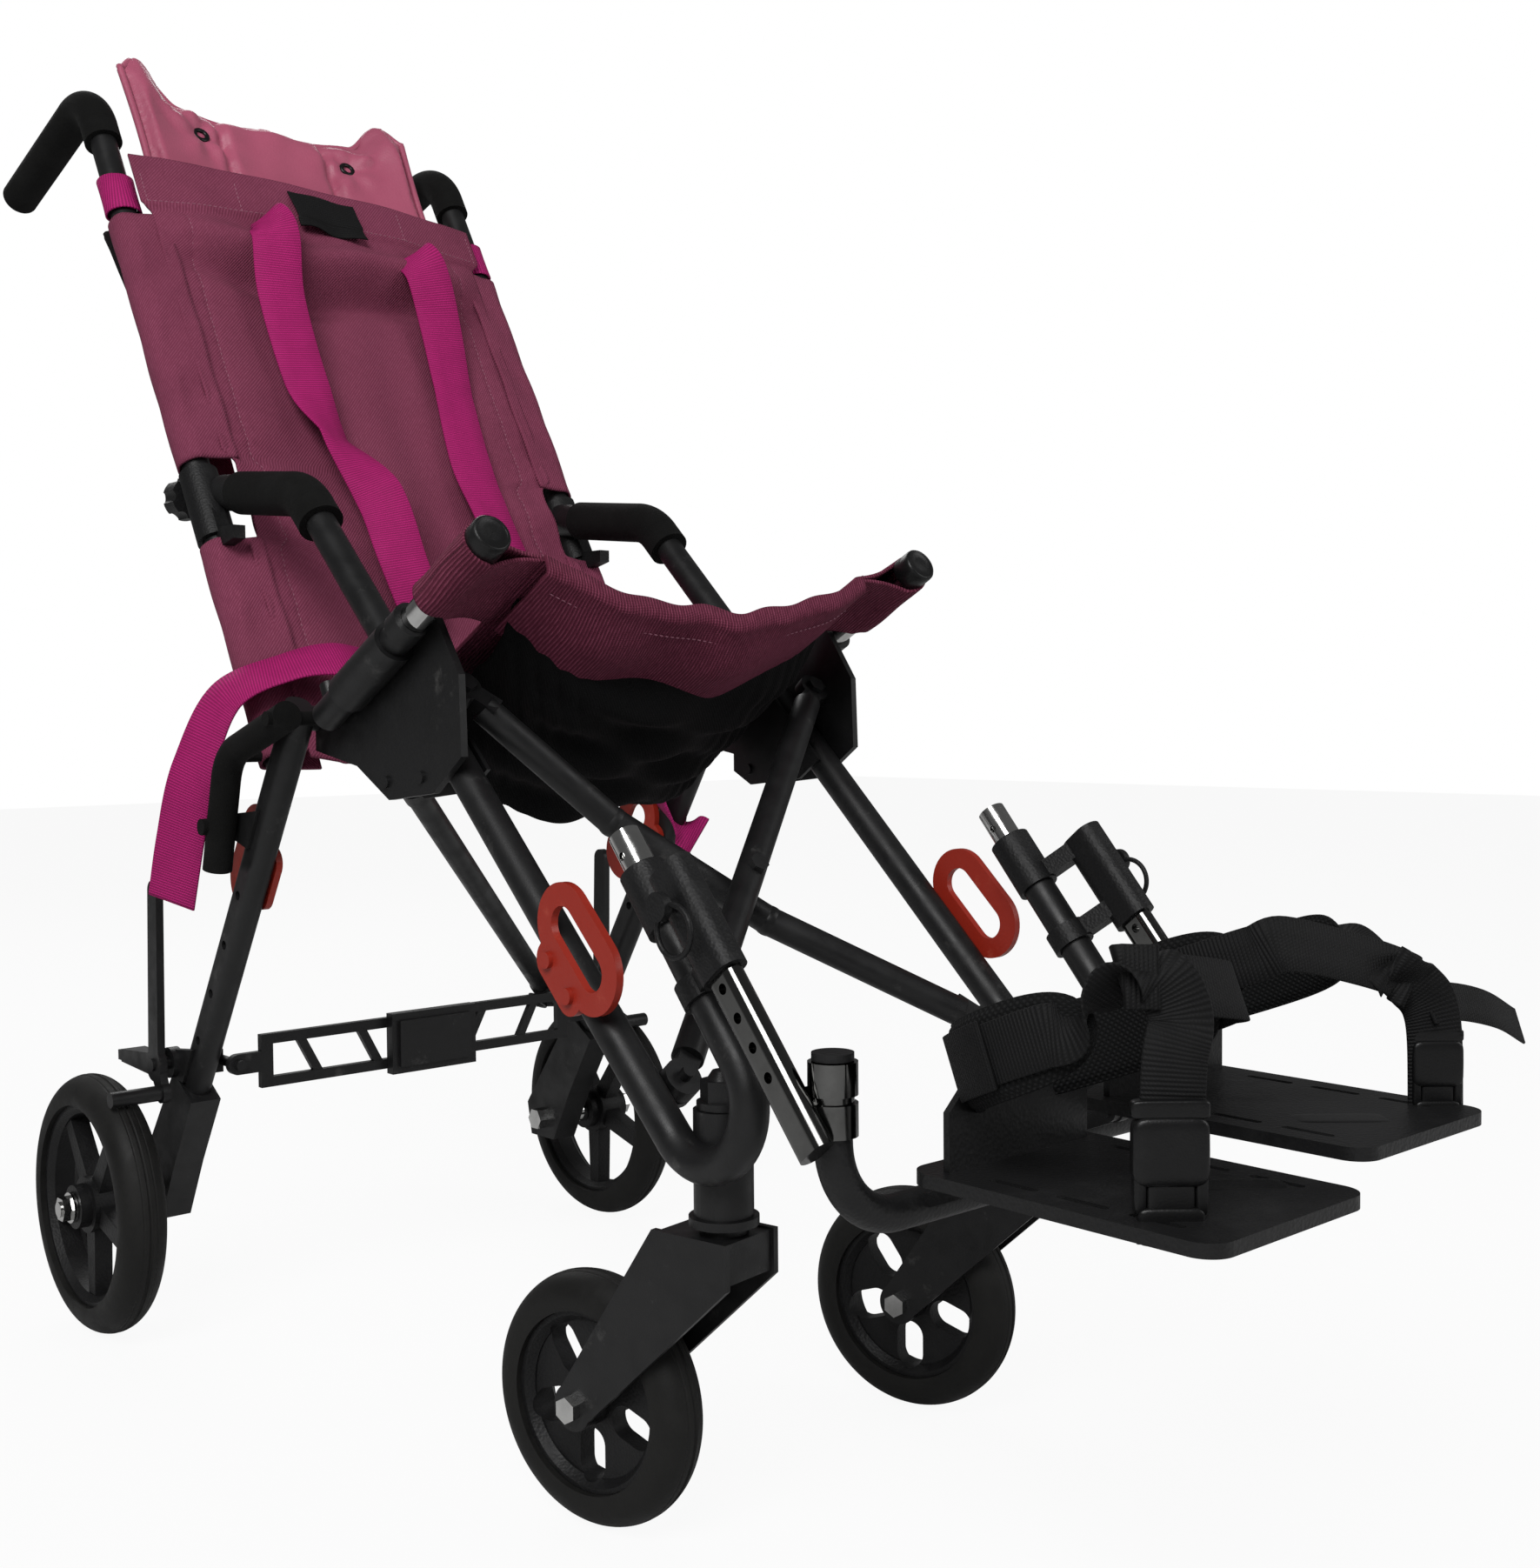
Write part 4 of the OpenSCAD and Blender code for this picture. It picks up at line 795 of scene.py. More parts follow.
@dataclass(frozen=True)
class Webbing(Finish):
    """Woven strap: cross ribs, a chevron of warp threads and firmer edges."""

    pitch: float = 0.0021
    chevron: float = 0.0017

    def make(self) -> bpy.types.Material:
        """Builds the node material.

        Returns:
            The material.
        """
        s = Shader(self.name)
        weft = s.ribs(s.coords(Coords.UV, (1 / self.pitch, 1 / self.pitch, 1), 90.0), 0.2)
        warp = s.ribs(s.coords(Coords.UV, (1 / self.chevron, 1 / self.chevron, 1), 24.0), 0.2)
        tone = s.noise(s.coords(Coords.UV), 30.0, 5.0, 0.6)
        thread = s.math("MULTIPLY", weft, s.spread(warp, 0.0, 1.0, 0.55, 1.0))
        dark = self.darker(0.5)
        base = s.mix(s.spread(thread, 0.1, 0.75), dark, self.colour)
        s.link("Base Color", s.mix(s.spread(tone, 0.55, 0.3, 0.0, 0.4), base, dark))
        s.link("Normal", s.relief(thread, 0.0005, 0.8))
        s.set(Roughness=0.66, Specular_IOR_Level=0.14, Sheen_Weight=0.008, Sheen_Roughness=0.4)
        return s.material


@dataclass(frozen=True)
class SpacerMesh(Finish):
    """Knitted spacer cloth: rows of small dark cells."""

    pitch: float = 0.0026

    def make(self) -> bpy.types.Material:
        """Builds the node material.

        Returns:
            The material.
        """
        s = Shader(self.name)
        a = s.ribs(s.coords(Coords.UV, (1 / self.pitch, 1 / self.pitch, 1), 45.0), 0.1)
        b = s.ribs(s.coords(Coords.UV, (1 / self.pitch, 1 / self.pitch, 1), -45.0), 0.1)
        knit = s.math("MULTIPLY", a, b)
        s.link("Base Color", s.mix(s.spread(knit, 0.1, 0.6), self.darker(0.35), self.colour))
        s.link("Normal", s.relief(knit, 0.0008, 0.9))
        s.set(Roughness=0.85, Specular_IOR_Level=0.12, Sheen_Weight=0.008, Sheen_Roughness=0.5)
        return s.material


class Palette:
    """Every finish on the buggy, made once."""

    def __init__(self) -> None:
        """Builds the materials."""
        self.frame_black = PowderCoat("frame_black", (0.0065, 0.0065, 0.0068)).make()
        self.red_steel = PowderCoat("red_steel", (0.26, 0.018, 0.009), worn=(0.34, 0.05, 0.03),
                                    roughness=0.36).make()
        self.chrome = Chrome("chrome", (0.55, 0.55, 0.54)).make()
        self.dark_chrome = Chrome("dark_chrome", (0.115, 0.115, 0.112)).make()
        self.foam = Foam("foam", (0.0042, 0.0042, 0.0040)).make()
        self.tyre = Tyre("tyre", (0.0065, 0.0064, 0.0060)).make()
        self.plastic = Moulded("black_plastic", (0.0055, 0.0055, 0.0058)).make()
        self.plate = Moulded("footplate_plastic", (0.0075, 0.0075, 0.0078), 420.0, 0.0004, 0.42).make()
        self.buckle = Moulded("buckle_plastic", (0.0048, 0.0048, 0.0050), 900.0, 0.0001, 0.34).make()
        self.maroon = Twill("maroon_cloth", (0.150, 0.030, 0.060), pale=(0.26, 0.070, 0.122)).make()
        self.seat_maroon = Twill("seat_cloth", (0.085, 0.014, 0.030), pale=(0.215, 0.052, 0.092), slant=0.0,
                                 pitch=0.0024, depth=0.0009, contrast=1.0).make()
        self.lining = Twill("black_lining", (0.0028, 0.0029, 0.0030), pale=(0.0060, 0.0062, 0.0064),
                            depth=0.0004).make()
        self.pink = Vinyl("pink_vinyl", (0.35, 0.070, 0.128)).make()
        self.magenta = Webbing("webbing", (0.42, 0.014, 0.150)).make()
        self.black_web = Webbing("black_webbing", (0.0075, 0.0075, 0.0078)).make()
        self.mesh = SpacerMesh("black_mesh", (0.010, 0.0102, 0.0105)).make()
        self.thread = Webbing("pale_thread", (0.48, 0.19, 0.27)).make()

    def dress_frame(self) -> None:
        """Gives each CAD node that stays in sight its finish."""
        by_word = {
            "front_leg": self.frame_black, "armrest_pad": self.foam, "armrest_clamp": self.plastic,
            "back_post": self.frame_black, "handle_grip": self.foam, "seat_tube": self.frame_black,
            "seat_extension": self.chrome, "gusset": self.frame_black, "rear_leg": self.frame_black,
            "back_link": self.foam, "tie_downs": self.red_steel, "rear_axle": self.chrome,
            "footrest_post": self.chrome, "hanger_sleeve": self.plastic, "rear_tyre": self.tyre,
            "rear_rim": self.plastic, "caster_fork": self.frame_black, "front_axle": self.chrome,
            "front_tyre": self.tyre, "front_rim": self.plastic, "brake_lever": self.frame_black,
            "footrest_tube": self.dark_chrome, "footplate_tube": self.frame_black, "footplate": self.plate,
            "cross_tube": self.frame_black, "rear_brace": self.frame_black, "rear_stay": self.frame_black,
        }
        for name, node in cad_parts.items():
            for word, material in by_word.items():
                if word in name:
                    node.data.materials.clear()
                    node.data.materials.append(material)


@dataclass
class SoftPiece:
    """Something sewn that is fixed to the frame."""

    palette: Palette
    hold: float = POST_X  # distance from the middle at which the frame holds it

    def keep(self, obj: bpy.types.Object, slot: str, *nodes: str) -> None:
        """Fixes a finished piece to the right-hand frame.

        Args:
            obj: the piece.
            slot: its material slot in the record; not used.
            nodes: CAD nodes that it stands for.
        """
        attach(obj, "frame_right")
        if nodes:
            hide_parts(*nodes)
        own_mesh(obj)
        LOG.info("made %s", obj.name)

    def fix(self, obj: bpy.types.Object, side: Side, slot: str) -> None:
        """Fixes a finished piece to one side of the frame, which it follows whole.

        Args:
            obj: the piece.
            side: the side that carries it.
            slot: its material slot in the record; not used.
        """
        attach(obj, f"frame_{side.word}")
        LOG.info("made %s", obj.name)


@dataclass
class BackSling(SoftPiece):
    """The cloth back: a slack panel, sleeves round both posts, a folded top hem and a blank patch."""

    hold: float = 0.156
    low: float = -0.028
    top: float = 0.540
    half: float = 0.156
    notch: tuple[float, float] = (0.170, 0.238)
    front: float = 0.0165
    sag: float = 0.012
    hem: float = 0.044
    cloth: float = 0.0022
    seam: float = 0.83
    clamp: float = 0.2  # height of the armrest clamps, which pull the cloth
    sleeve_r: float = 0.0138
    patch_size: tuple[float, float] = (0.063, 0.043)
    patch_x: float = -0.031
    patch_drop: float = 0.052
    patch_cloth: float = 0.0010

    def reach(self, a: Array) -> Array:
        """Half width at a height: drawn in beside the armrest clamps, wider at the hem.

        Args:
            a: distance up the posts.

        Returns:
            The half width.
        """
        lo, hi = self.notch
        cut = smooth((a - lo + 0.012) / 0.012) * smooth((hi + 0.012 - a) / 0.012)
        corner = 0.008 * smooth((a - self.top + self.hem + 0.004) / 0.010)
        return self.half - 0.010 * cut + corner

    def height(self, u: Array, v: Array) -> Array:
        """Distance up the back: a bowed lower edge and a top edge that dips in the middle.

        Args:
            u: sideways share, from -1 to 1.
            v: share of the height, from 0 to 1.

        Returns:
            Distance up the posts.
        """
        low = self.low - 0.018 * (1 - u**2)
        top = self.top + 0.006 * u**2 - 0.006 * u
        return low + (top - low) * v

    def depth(self, u: Array, a: Array) -> Array:
        """Distance in front of the posts: a sum of sines and bells for the cloth's slack and its seams.

        Args:
            u: sideways share, from -1 to 1.
            a: distance up the posts.

        Returns:
            Hollow, loose top, swag below the hem, flutes, pulls at the clamps, seams and hem band in one.
        """
        t = np.clip((a - self.low) / (self.top - self.low), 0, 1)
        flat = 1 - u**2
        side = np.abs(u)
        hollow = -self.sag * flat * np.sin(np.pi * np.clip(1.15 * t, 0, 1)) ** 0.8
        loose = 0.014 * flat * smooth((a - 0.395) / 0.07)
        line = self.top - 0.084 + 0.024 * u**2 + 0.004 * np.sin(6 * u)
        swag = (0.0130 * bump(a, line, 0.015) - 0.0135 * bump(a, line - 0.031, 0.013)) * (1 - u**4)
        flute = 0.0016 * np.sin(5.2 * np.pi * u + 1.4 * np.sin(3.0 * t)) * np.sin(np.pi * t) * (1 - u**4)
        slant = 150 * (0.05 * side + 0.8 * (a - self.clamp))
        pull = 0.0020 * np.sin(slant) * bump(side, 0.95, 0.30) * bump(a, self.clamp, 0.10)
        lazy = 0.0014 * np.sin(23 * t + 3.1 * u) * np.sin(7.3 * u - 5 * t) * (1 - u**4)
        sewn = bump(side, self.seam, 0.014) * smooth((self.top - self.hem - a) / 0.01)
        pucker = 0.0005 * np.sin(2 * np.pi * a / 0.013) * bump(side, self.seam, 0.045)
        band = 0.0022 * smooth((a - (self.top - self.hem)) / 0.003)
        return self.front + hollow + loose + swag + flute + pull + lazy - 0.0012 * sewn + pucker + band

    def panel(self) -> Array:
        """Grid of the front panel.

        Returns:
            Points of shape (rows, columns, 3).
        """
        u, v = np.meshgrid(np.linspace(-1, 1, 161), np.linspace(0, 1, 241))
        a = self.height(u, v)
        return BACK.place(u * self.reach(a), a, self.depth(u, a))

    def sleeve(self, side: Side, a0: float, a1: float) -> Array:
        """Grid of one sleeve: along the front, half round the post and back inside.

        Args:
            side: which post.
            a0: lower end along the post.
            a1: upper end along the post.

        Returns:
            Points from the front flap round to the inner flap.
        """
        r = self.sleeve_r
        turn = np.linspace(0, np.pi, 25)
        x = np.concatenate([np.linspace(self.half - 0.012, POST_X, 9)[:-1], POST_X + r * np.sin(turn),
                            np.linspace(POST_X, POST_X - 0.040, 9)[1:]])
        ease = np.linspace(0, 1, 8)
        flap = (self.front + 0.0014) * (1 - ease) + r * ease
        b = np.concatenate([flap, r * np.cos(turn), np.full(8, -r)])
        a = np.linspace(a0, a1, 61)[:, None]
        n = np.arange(len(x))
        wave = 0.0007 * np.sin(90 * a + 0.5 * n) + 0.0005 * np.sin(37 * a - 0.3 * n)
        pts = BACK.place(side.value * x, a, b + wave)
        return pts if side is Side.LEFT else pts[:, ::-1]

    def build(self) -> None:
        """Makes the cloth, its thread and the patch."""
        maker = MeshMaker("back_cloth")
        grid = self.panel()
        maker.grid(grid, flat_lengths(grid))
        cloth = thicken(maker.build(self.palette.maroon), self.cloth)
        self.keep(cloth, "maroon_cloth", "back_sling")
        for side in Side:
            self.sleeves(side)
        self.sew()
        self.patch()

    def sleeves(self, side: Side) -> None:
        """The two sleeves on one post, above and below its armrest clamp.

        Args:
            side: which post.
        """
        maker = MeshMaker(f"{side.word}_back_sleeve")
        for a0, a1 in ((self.low + 0.006, self.notch[0] - 0.004), (self.notch[1] + 0.004, self.top - 0.050)):
            piece = self.sleeve(side, a0, a1)
            maker.grid(piece, flat_lengths(piece) + (0.0, a0 - self.low))
        cloth = thicken(maker.build(self.palette.maroon), self.cloth)
        self.fix(cloth, side, "maroon_cloth")

    def row(self, maker: MeshMaker, u: Array, a: Array) -> None:
        """One row of thread on the panel through sideways shares and heights."""
        line = BACK.place(u * self.reach(a), a, self.depth(u, a) + self.cloth / 2)
        stitches(maker, line, np.broadcast_to(BACK.normal, line.shape))

    def sew(self) -> None:
        """Rows of thread: a long one down each side, short ones across the hem and one along its foot."""
        maker = MeshMaker("back_thread")
        long = np.linspace(self.low + 0.004, self.top - self.hem - 0.004, 200)
        short = np.linspace(self.top - self.hem + 0.002, self.top - 0.004, 30)
        for k in (-1, 1):
            self.row(maker, np.full_like(long, k * self.seam), long)
            self.row(maker, np.full_like(short, k * 0.48), short)
            self.row(maker, np.full_like(short, k * 0.97), short)
        u = np.linspace(-0.99, 0.99, 160)
        self.row(maker, u, np.full_like(u, self.top - self.hem + 0.005))
        self.keep(maker.build(self.palette.thread), "maroon_cloth")

    def patch(self) -> None:
        """A plain woven label, sewn on the hem and standing off in a wave at its lower edge."""
        maker = MeshMaker("blank_patch")
        s, t = np.meshgrid(np.linspace(0, 1, 41), np.linspace(0, 1, 25))
        wide, high = self.patch_size
        x = self.patch_x + wide * s
        a = self.top - self.patch_drop + high * t - 0.004 * s
        u = x / self.half
        curl = 0.0035 * (1 - t) * (1 + np.sin(7 * s + 0.6)) + 0.0008 * np.sin(9 * s + 4 * t)
        pts = BACK.place(x, a, self.depth(u, a) + self.cloth / 2 + 0.0012 + curl)
        maker.grid(pts, flat_lengths(pts))
        obj = thicken(maker.build(self.palette.black_web), self.patch_cloth)
        self.keep(obj, "black_padding")


@dataclass
class BackPouch(SoftPiece):
    """The black pouch that hangs behind the back, open at its top."""

    low: float = 0.335
    high: float = 0.506
    half: float = 0.166
    bulge: float = 0.058
    rim: float = 0.004  # depth at its foot
    rise: float = 0.040  # extra height of its rear edge
    behind: float = 0.0165  # distance behind the middle of the posts
    boxy: float = 0.35  # power of its section; smaller is boxier
    cloth: float = 0.0020

    def build(self) -> None:
        """Makes the pouch: a boxy half ring carried up the back, deeper and higher at its rear edge."""
        maker = MeshMaker("back_pouch")
        w, v = np.meshgrid(np.linspace(0, np.pi, 121), np.linspace(0, 1, 41))
        c, d = np.cos(w), np.sin(w)
        deep = self.rim + self.bulge * v
        share = np.abs(d) ** self.boxy
        x = -self.half * signed_power(c, self.boxy)
        ripple = 0.0022 * np.sin(9 * w + 5 * v) * v + 0.0016 * np.sin(23 * w - 8 * v) * v
        b = -self.behind - deep * share + ripple * share
        a = self.low + (self.high - self.low) * v + self.rise * v * share * deep / (self.rim + self.bulge)
        pts = BACK.place(x, a, b)
        maker.grid(pts[:, ::-1], flat_lengths(pts)[:, ::-1])
        obj = thicken(maker.build(self.palette.lining), self.cloth)
        self.keep(obj, "black_padding")


@dataclass
class SeatSling(SoftPiece):
    """The cloth seat: sleeves round the tubes, a hanging middle and a flap turned under the front edge."""

    hold: float = 0.140
    front: float = 0.222
    rear: float = 0.004
    sag: float = 0.036
    cloth: float = 0.0024
    flap: float = 0.072
    half: float = 0.140
    sleeve_r: float = 0.0132
    sleeve_from: float = 0.158
    brim: float = -0.30  # row of the grid, from -1 to 1, where the cloth turns under
    lip: float = 0.0052  # half the gap inside the front fold
    bag: float = 0.012  # how far the flap hangs below that gap
    bag_run: float = 0.6  # share of the flap over which it comes to hang
    stitch_in: float = 0.016  # distance of the thread behind the front edge

    def drop(self, u: Array, s: Array) -> Array:
        """Distance below the tube line: near a parabola across, deeper to the rear, with slack ripples.

        Args:
            u: sideways share, from -1 to 1.
            s: distance along the tubes.

        Returns:
            The distance below the line.
        """
        t = np.clip((self.front - s) / (self.front - self.rear), 0, 1)
        hang = self.sag * (1 - np.abs(u) ** 2.2) * (0.80 + 0.25 * t)
        slack = 0.0018 * np.sin(9 * u + 4 * t) + 0.0026 * np.sin(5.5 * np.pi * u) * bump(t, 0.0, 0.10)
        return 0.003 + hang + slack * (1 - u**2)

    def edge(self, u: Array) -> Array:
        """Distance along the tubes of the front edge: a shallow scallop."""
        return self.front - 0.004 - 0.008 * (1 - u**2)

    def build(self) -> None:
        """Makes the panel with its flap, the two sleeves, the thread and the tube ends."""
        maker = MeshMaker("seat_cloth")
        u, w = np.meshgrid(np.linspace(-1, 1, 141), np.linspace(-1, 1, 161))
        under = w < self.brim
        f = np.clip((self.brim - w) / (1 + self.brim), 0, 1)
        g = np.clip((w - self.brim) / (1 - self.brim), 0, 1)
        edge = self.edge(u)
        s = np.where(under, edge - self.flap * f, edge - (edge - self.rear) * g)
        fold = self.lip * np.sqrt(np.clip(1 - (1 - np.clip(f / 0.06, 0, 1)) ** 2, 0, 1))
        belly = (self.bag + 0.004 * np.sin(7 * u)) * smooth(f / self.bag_run) * (1 - u**4)
        d = self.drop(u, s) + np.where(under, 2 * fold + belly, 0.0)
        pts = SEAT.place(u * self.half, s, d)
        maker.grid(pts[::-1], flat_lengths(pts)[::-1])
        cloth = thicken(maker.build(self.palette.seat_maroon), self.cloth)
        self.keep(cloth, "maroon_cloth", "seat_sling")
        self.sew()
        for side in Side:
            tunnel = MeshMaker(f"{side.word}_seat_sleeve")
            tunnel.grid(*self.sleeve(side), wrap=True)
            wrap = thicken(tunnel.build(self.palette.seat_maroon), self.cloth)
            self.fix(wrap, side, "maroon_cloth")
            self.tube_end(side)

    def section(self, a: Array) -> tuple[Array, Array]:
        """A tunnel round the tube whose two layers lie together from the tube's inner side to the seam.

        Args:
            a: angles round the tube.

        Returns:
            Sideways distance from the tube's middle, and distance below it.
        """
        inner = np.clip(-2 * np.cos(a) - 1, 0, 1)
        x = self.sleeve_r * np.cos(a) * (1 - inner) - (SEAT_X - self.half + 0.004) * inner
        gap = self.sleeve_r * np.abs(np.sin(a)) * (1 - inner) ** 2 + 0.0024 * inner * np.sqrt(1 - inner**6)
        return x, 0.003 * inner - np.sign(np.sin(a)) * gap

    def sleeve(self, side: Side) -> tuple[Array, Array]:
        """The cloth tunnel round one seat tube.

        Args:
            side: which tube.

        Returns:
            Its points and its flat positions.
        """
        turn = turns(64)
        a, s = np.meshgrid(turn, np.linspace(self.sleeve_from, self.front, 41))
        x, d = self.section(a)
        inner = np.clip(-np.cos(a), 0, 1)
        share = (s - self.sleeve_from) / (self.front - self.sleeve_from)
        crease = 0.0007 * np.sin(3 * a + 60 * s) + 0.0005 * np.sin(120 * s)
        along = s - 0.006 * inner * share - 0.020 * inner**2 * (1 - share) + 0.002 * np.cos(a) * share
        pts = SEAT.place(side.value * (SEAT_X + x), along, d + crease)
        step = np.hypot(*(np.diff(k, append=k[:1]) for k in self.section(turn)))
        around = np.concatenate([[0], np.cumsum(step)[:-1]])
        uv = pairs(around, s)
        return (pts, uv) if side is Side.RIGHT else (pts[:, ::-1], uv[:, ::-1])

    def sew(self) -> None:
        """Two rows of thread behind the front edge, one on the seat and one on the flap below it."""
        maker = MeshMaker("seat_thread")
        up = -SEAT.normal
        u = np.linspace(-0.96, 0.96, 160)
        s = self.edge(u) - self.stitch_in
        line = SEAT.place(u * self.half, s, self.drop(u, s) - self.cloth / 2)
        stitches(maker, line, np.broadcast_to(up, line.shape))
        belly = self.bag * smooth(np.full_like(u, 0.16 / self.bag_run)) * (1 - u**4)
        under = self.drop(u, s) + 2 * self.lip + belly + self.cloth / 2
        line = SEAT.place(u * self.half, s, under + 0.0012)
        stitches(maker, line, np.broadcast_to(-up, line.shape))
        self.keep(maker.build(self.palette.thread), "maroon_cloth")

    def tube_end(self, side: Side) -> None:
        """A moulded plug over one tube's end: a turned profile with a rim round a shallow dished face.

        Args:
            side: which tube.
        """
        maker = MeshMaker(f"{side.word}_tube_plug")
        s = np.array([0.2185, 0.2190, 0.2318, 0.2340, 0.2352, 0.2354, 0.2350, 0.2346, 0.2348, 0.2350])
        r = np.array([0.0124, 0.0131, 0.0131, 0.0128, 0.0119, 0.0110, 0.0102, 0.0096, 0.0050, 0.0002])
        a = turns(48)
        pts = SEAT.place(SEAT_X * side.value + r[:, None] * np.cos(a), s[:, None], r[:, None] * np.sin(a))
        maker.grid(pts[::-1], wrap=True)
        self.fix(maker.build(self.palette.buckle), side, "black_plastic")


@dataclass
class UnderSeat(SoftPiece):
    """The black hammock under the seat, bagging down between the side plates."""

    hold: float = 0.138
    front: float = 0.176
    rear: float = 0.014
    half: float = 0.138
    cloth: float = 0.0018

    @property
    def seat(self) -> SeatSling:
        """The seat above, for its hang."""
        return SeatSling(self.palette)

    def build(self) -> None:
        """Makes the hammock: a bag across, with slack folds that run towards its corners."""
        maker = MeshMaker("under_seat_lining")
        u, v = np.meshgrid(np.linspace(-1, 1, 141), np.linspace(0, 1, 111))
        s = self.front - (self.front - self.rear) * v - 0.010 * (1 - u**2) * (1 - v)
        free = smooth(v / 0.24)
        broad = 0.0036 * np.sin(16 * v + 3 * u + 2 * np.sin(2 * u)) * (1 - u**2)
        fine = 0.0026 * np.sin(31 * v - 5 * u) * (1 - u**4)
        corner = 0.0022 * np.sin(60 * (np.abs(u) + 0.6 * v)) * bump(np.abs(u), 0.8, 0.25)
        bag = (0.012 * free + 0.016 * v) * (1 - np.abs(u) ** 4) + 0.016 * free
        d = self.seat.drop(u, s) + 0.006 + bag + (broad + fine + corner) * free
        pts = SEAT.place(u * self.half, s, d)
        maker.grid(pts[::-1], flat_lengths(pts)[::-1])
        cloth = thicken(maker.build(self.palette.lining), self.cloth)
        self.keep(cloth, "black_padding", "underseat_panel")


def positions(mesh: bpy.types.Mesh) -> Array:
    """Every vertex of a mesh as an array of points.

    Args:
        mesh: what is read.

    Returns:
        Points of shape (n, 3).
    """
    flat = np.empty(len(mesh.vertices) * 3)
    mesh.vertices.foreach_get("co", flat)
    return flat.reshape(-1, 3)


def inflate(obj: bpy.types.Object, voxel: float, pressure: float, cap: float, frames: int = 20) -> None:
    """Swells a pad with a cloth simulation: points move under pressure, no further than a cap.

    Args:
        obj: the pad, remeshed in place.
        voxel: size of the new mesh's cells.
        pressure: air pressure inside.
        cap: furthest that a point may move.
        frames: frames of simulation.
    """
    scene = bpy.context.scene
    cells = obj.modifiers.new("cells", "REMESH")
    cells.mode = "VOXEL"
    cells.voxel_size = voxel
    cells.use_smooth_shade = True
    mesh = bpy.data.meshes.new_from_object(obj.evaluated_get(bpy.context.evaluated_depsgraph_get()))
    obj.modifiers.clear()
    obj.data = mesh
    before = positions(mesh)
    cloth = obj.modifiers.new("cloth", "CLOTH")
    cloth.settings.use_pressure = True
    cloth.settings.uniform_pressure_force = pressure
    cloth.settings.effector_weights.gravity = 0.0
    cloth.point_cache.frame_start = 1
    cloth.point_cache.frame_end = frames
    for number in range(1, frames + 1):
        scene.frame_set(number)
    swollen = bpy.data.meshes.new_from_object(obj.evaluated_get(bpy.context.evaluated_depsgraph_get()))
    moved = positions(swollen) - before
    length = np.maximum(np.linalg.norm(moved, axis=1, keepdims=True), 1e-9)
    obj.modifiers.clear()
    mesh.vertices.foreach_set("co", (before + moved * np.minimum(1.0, cap / length)).ravel())
    mesh.update()
    bpy.data.meshes.remove(swollen)
    scene.frame_set(1)


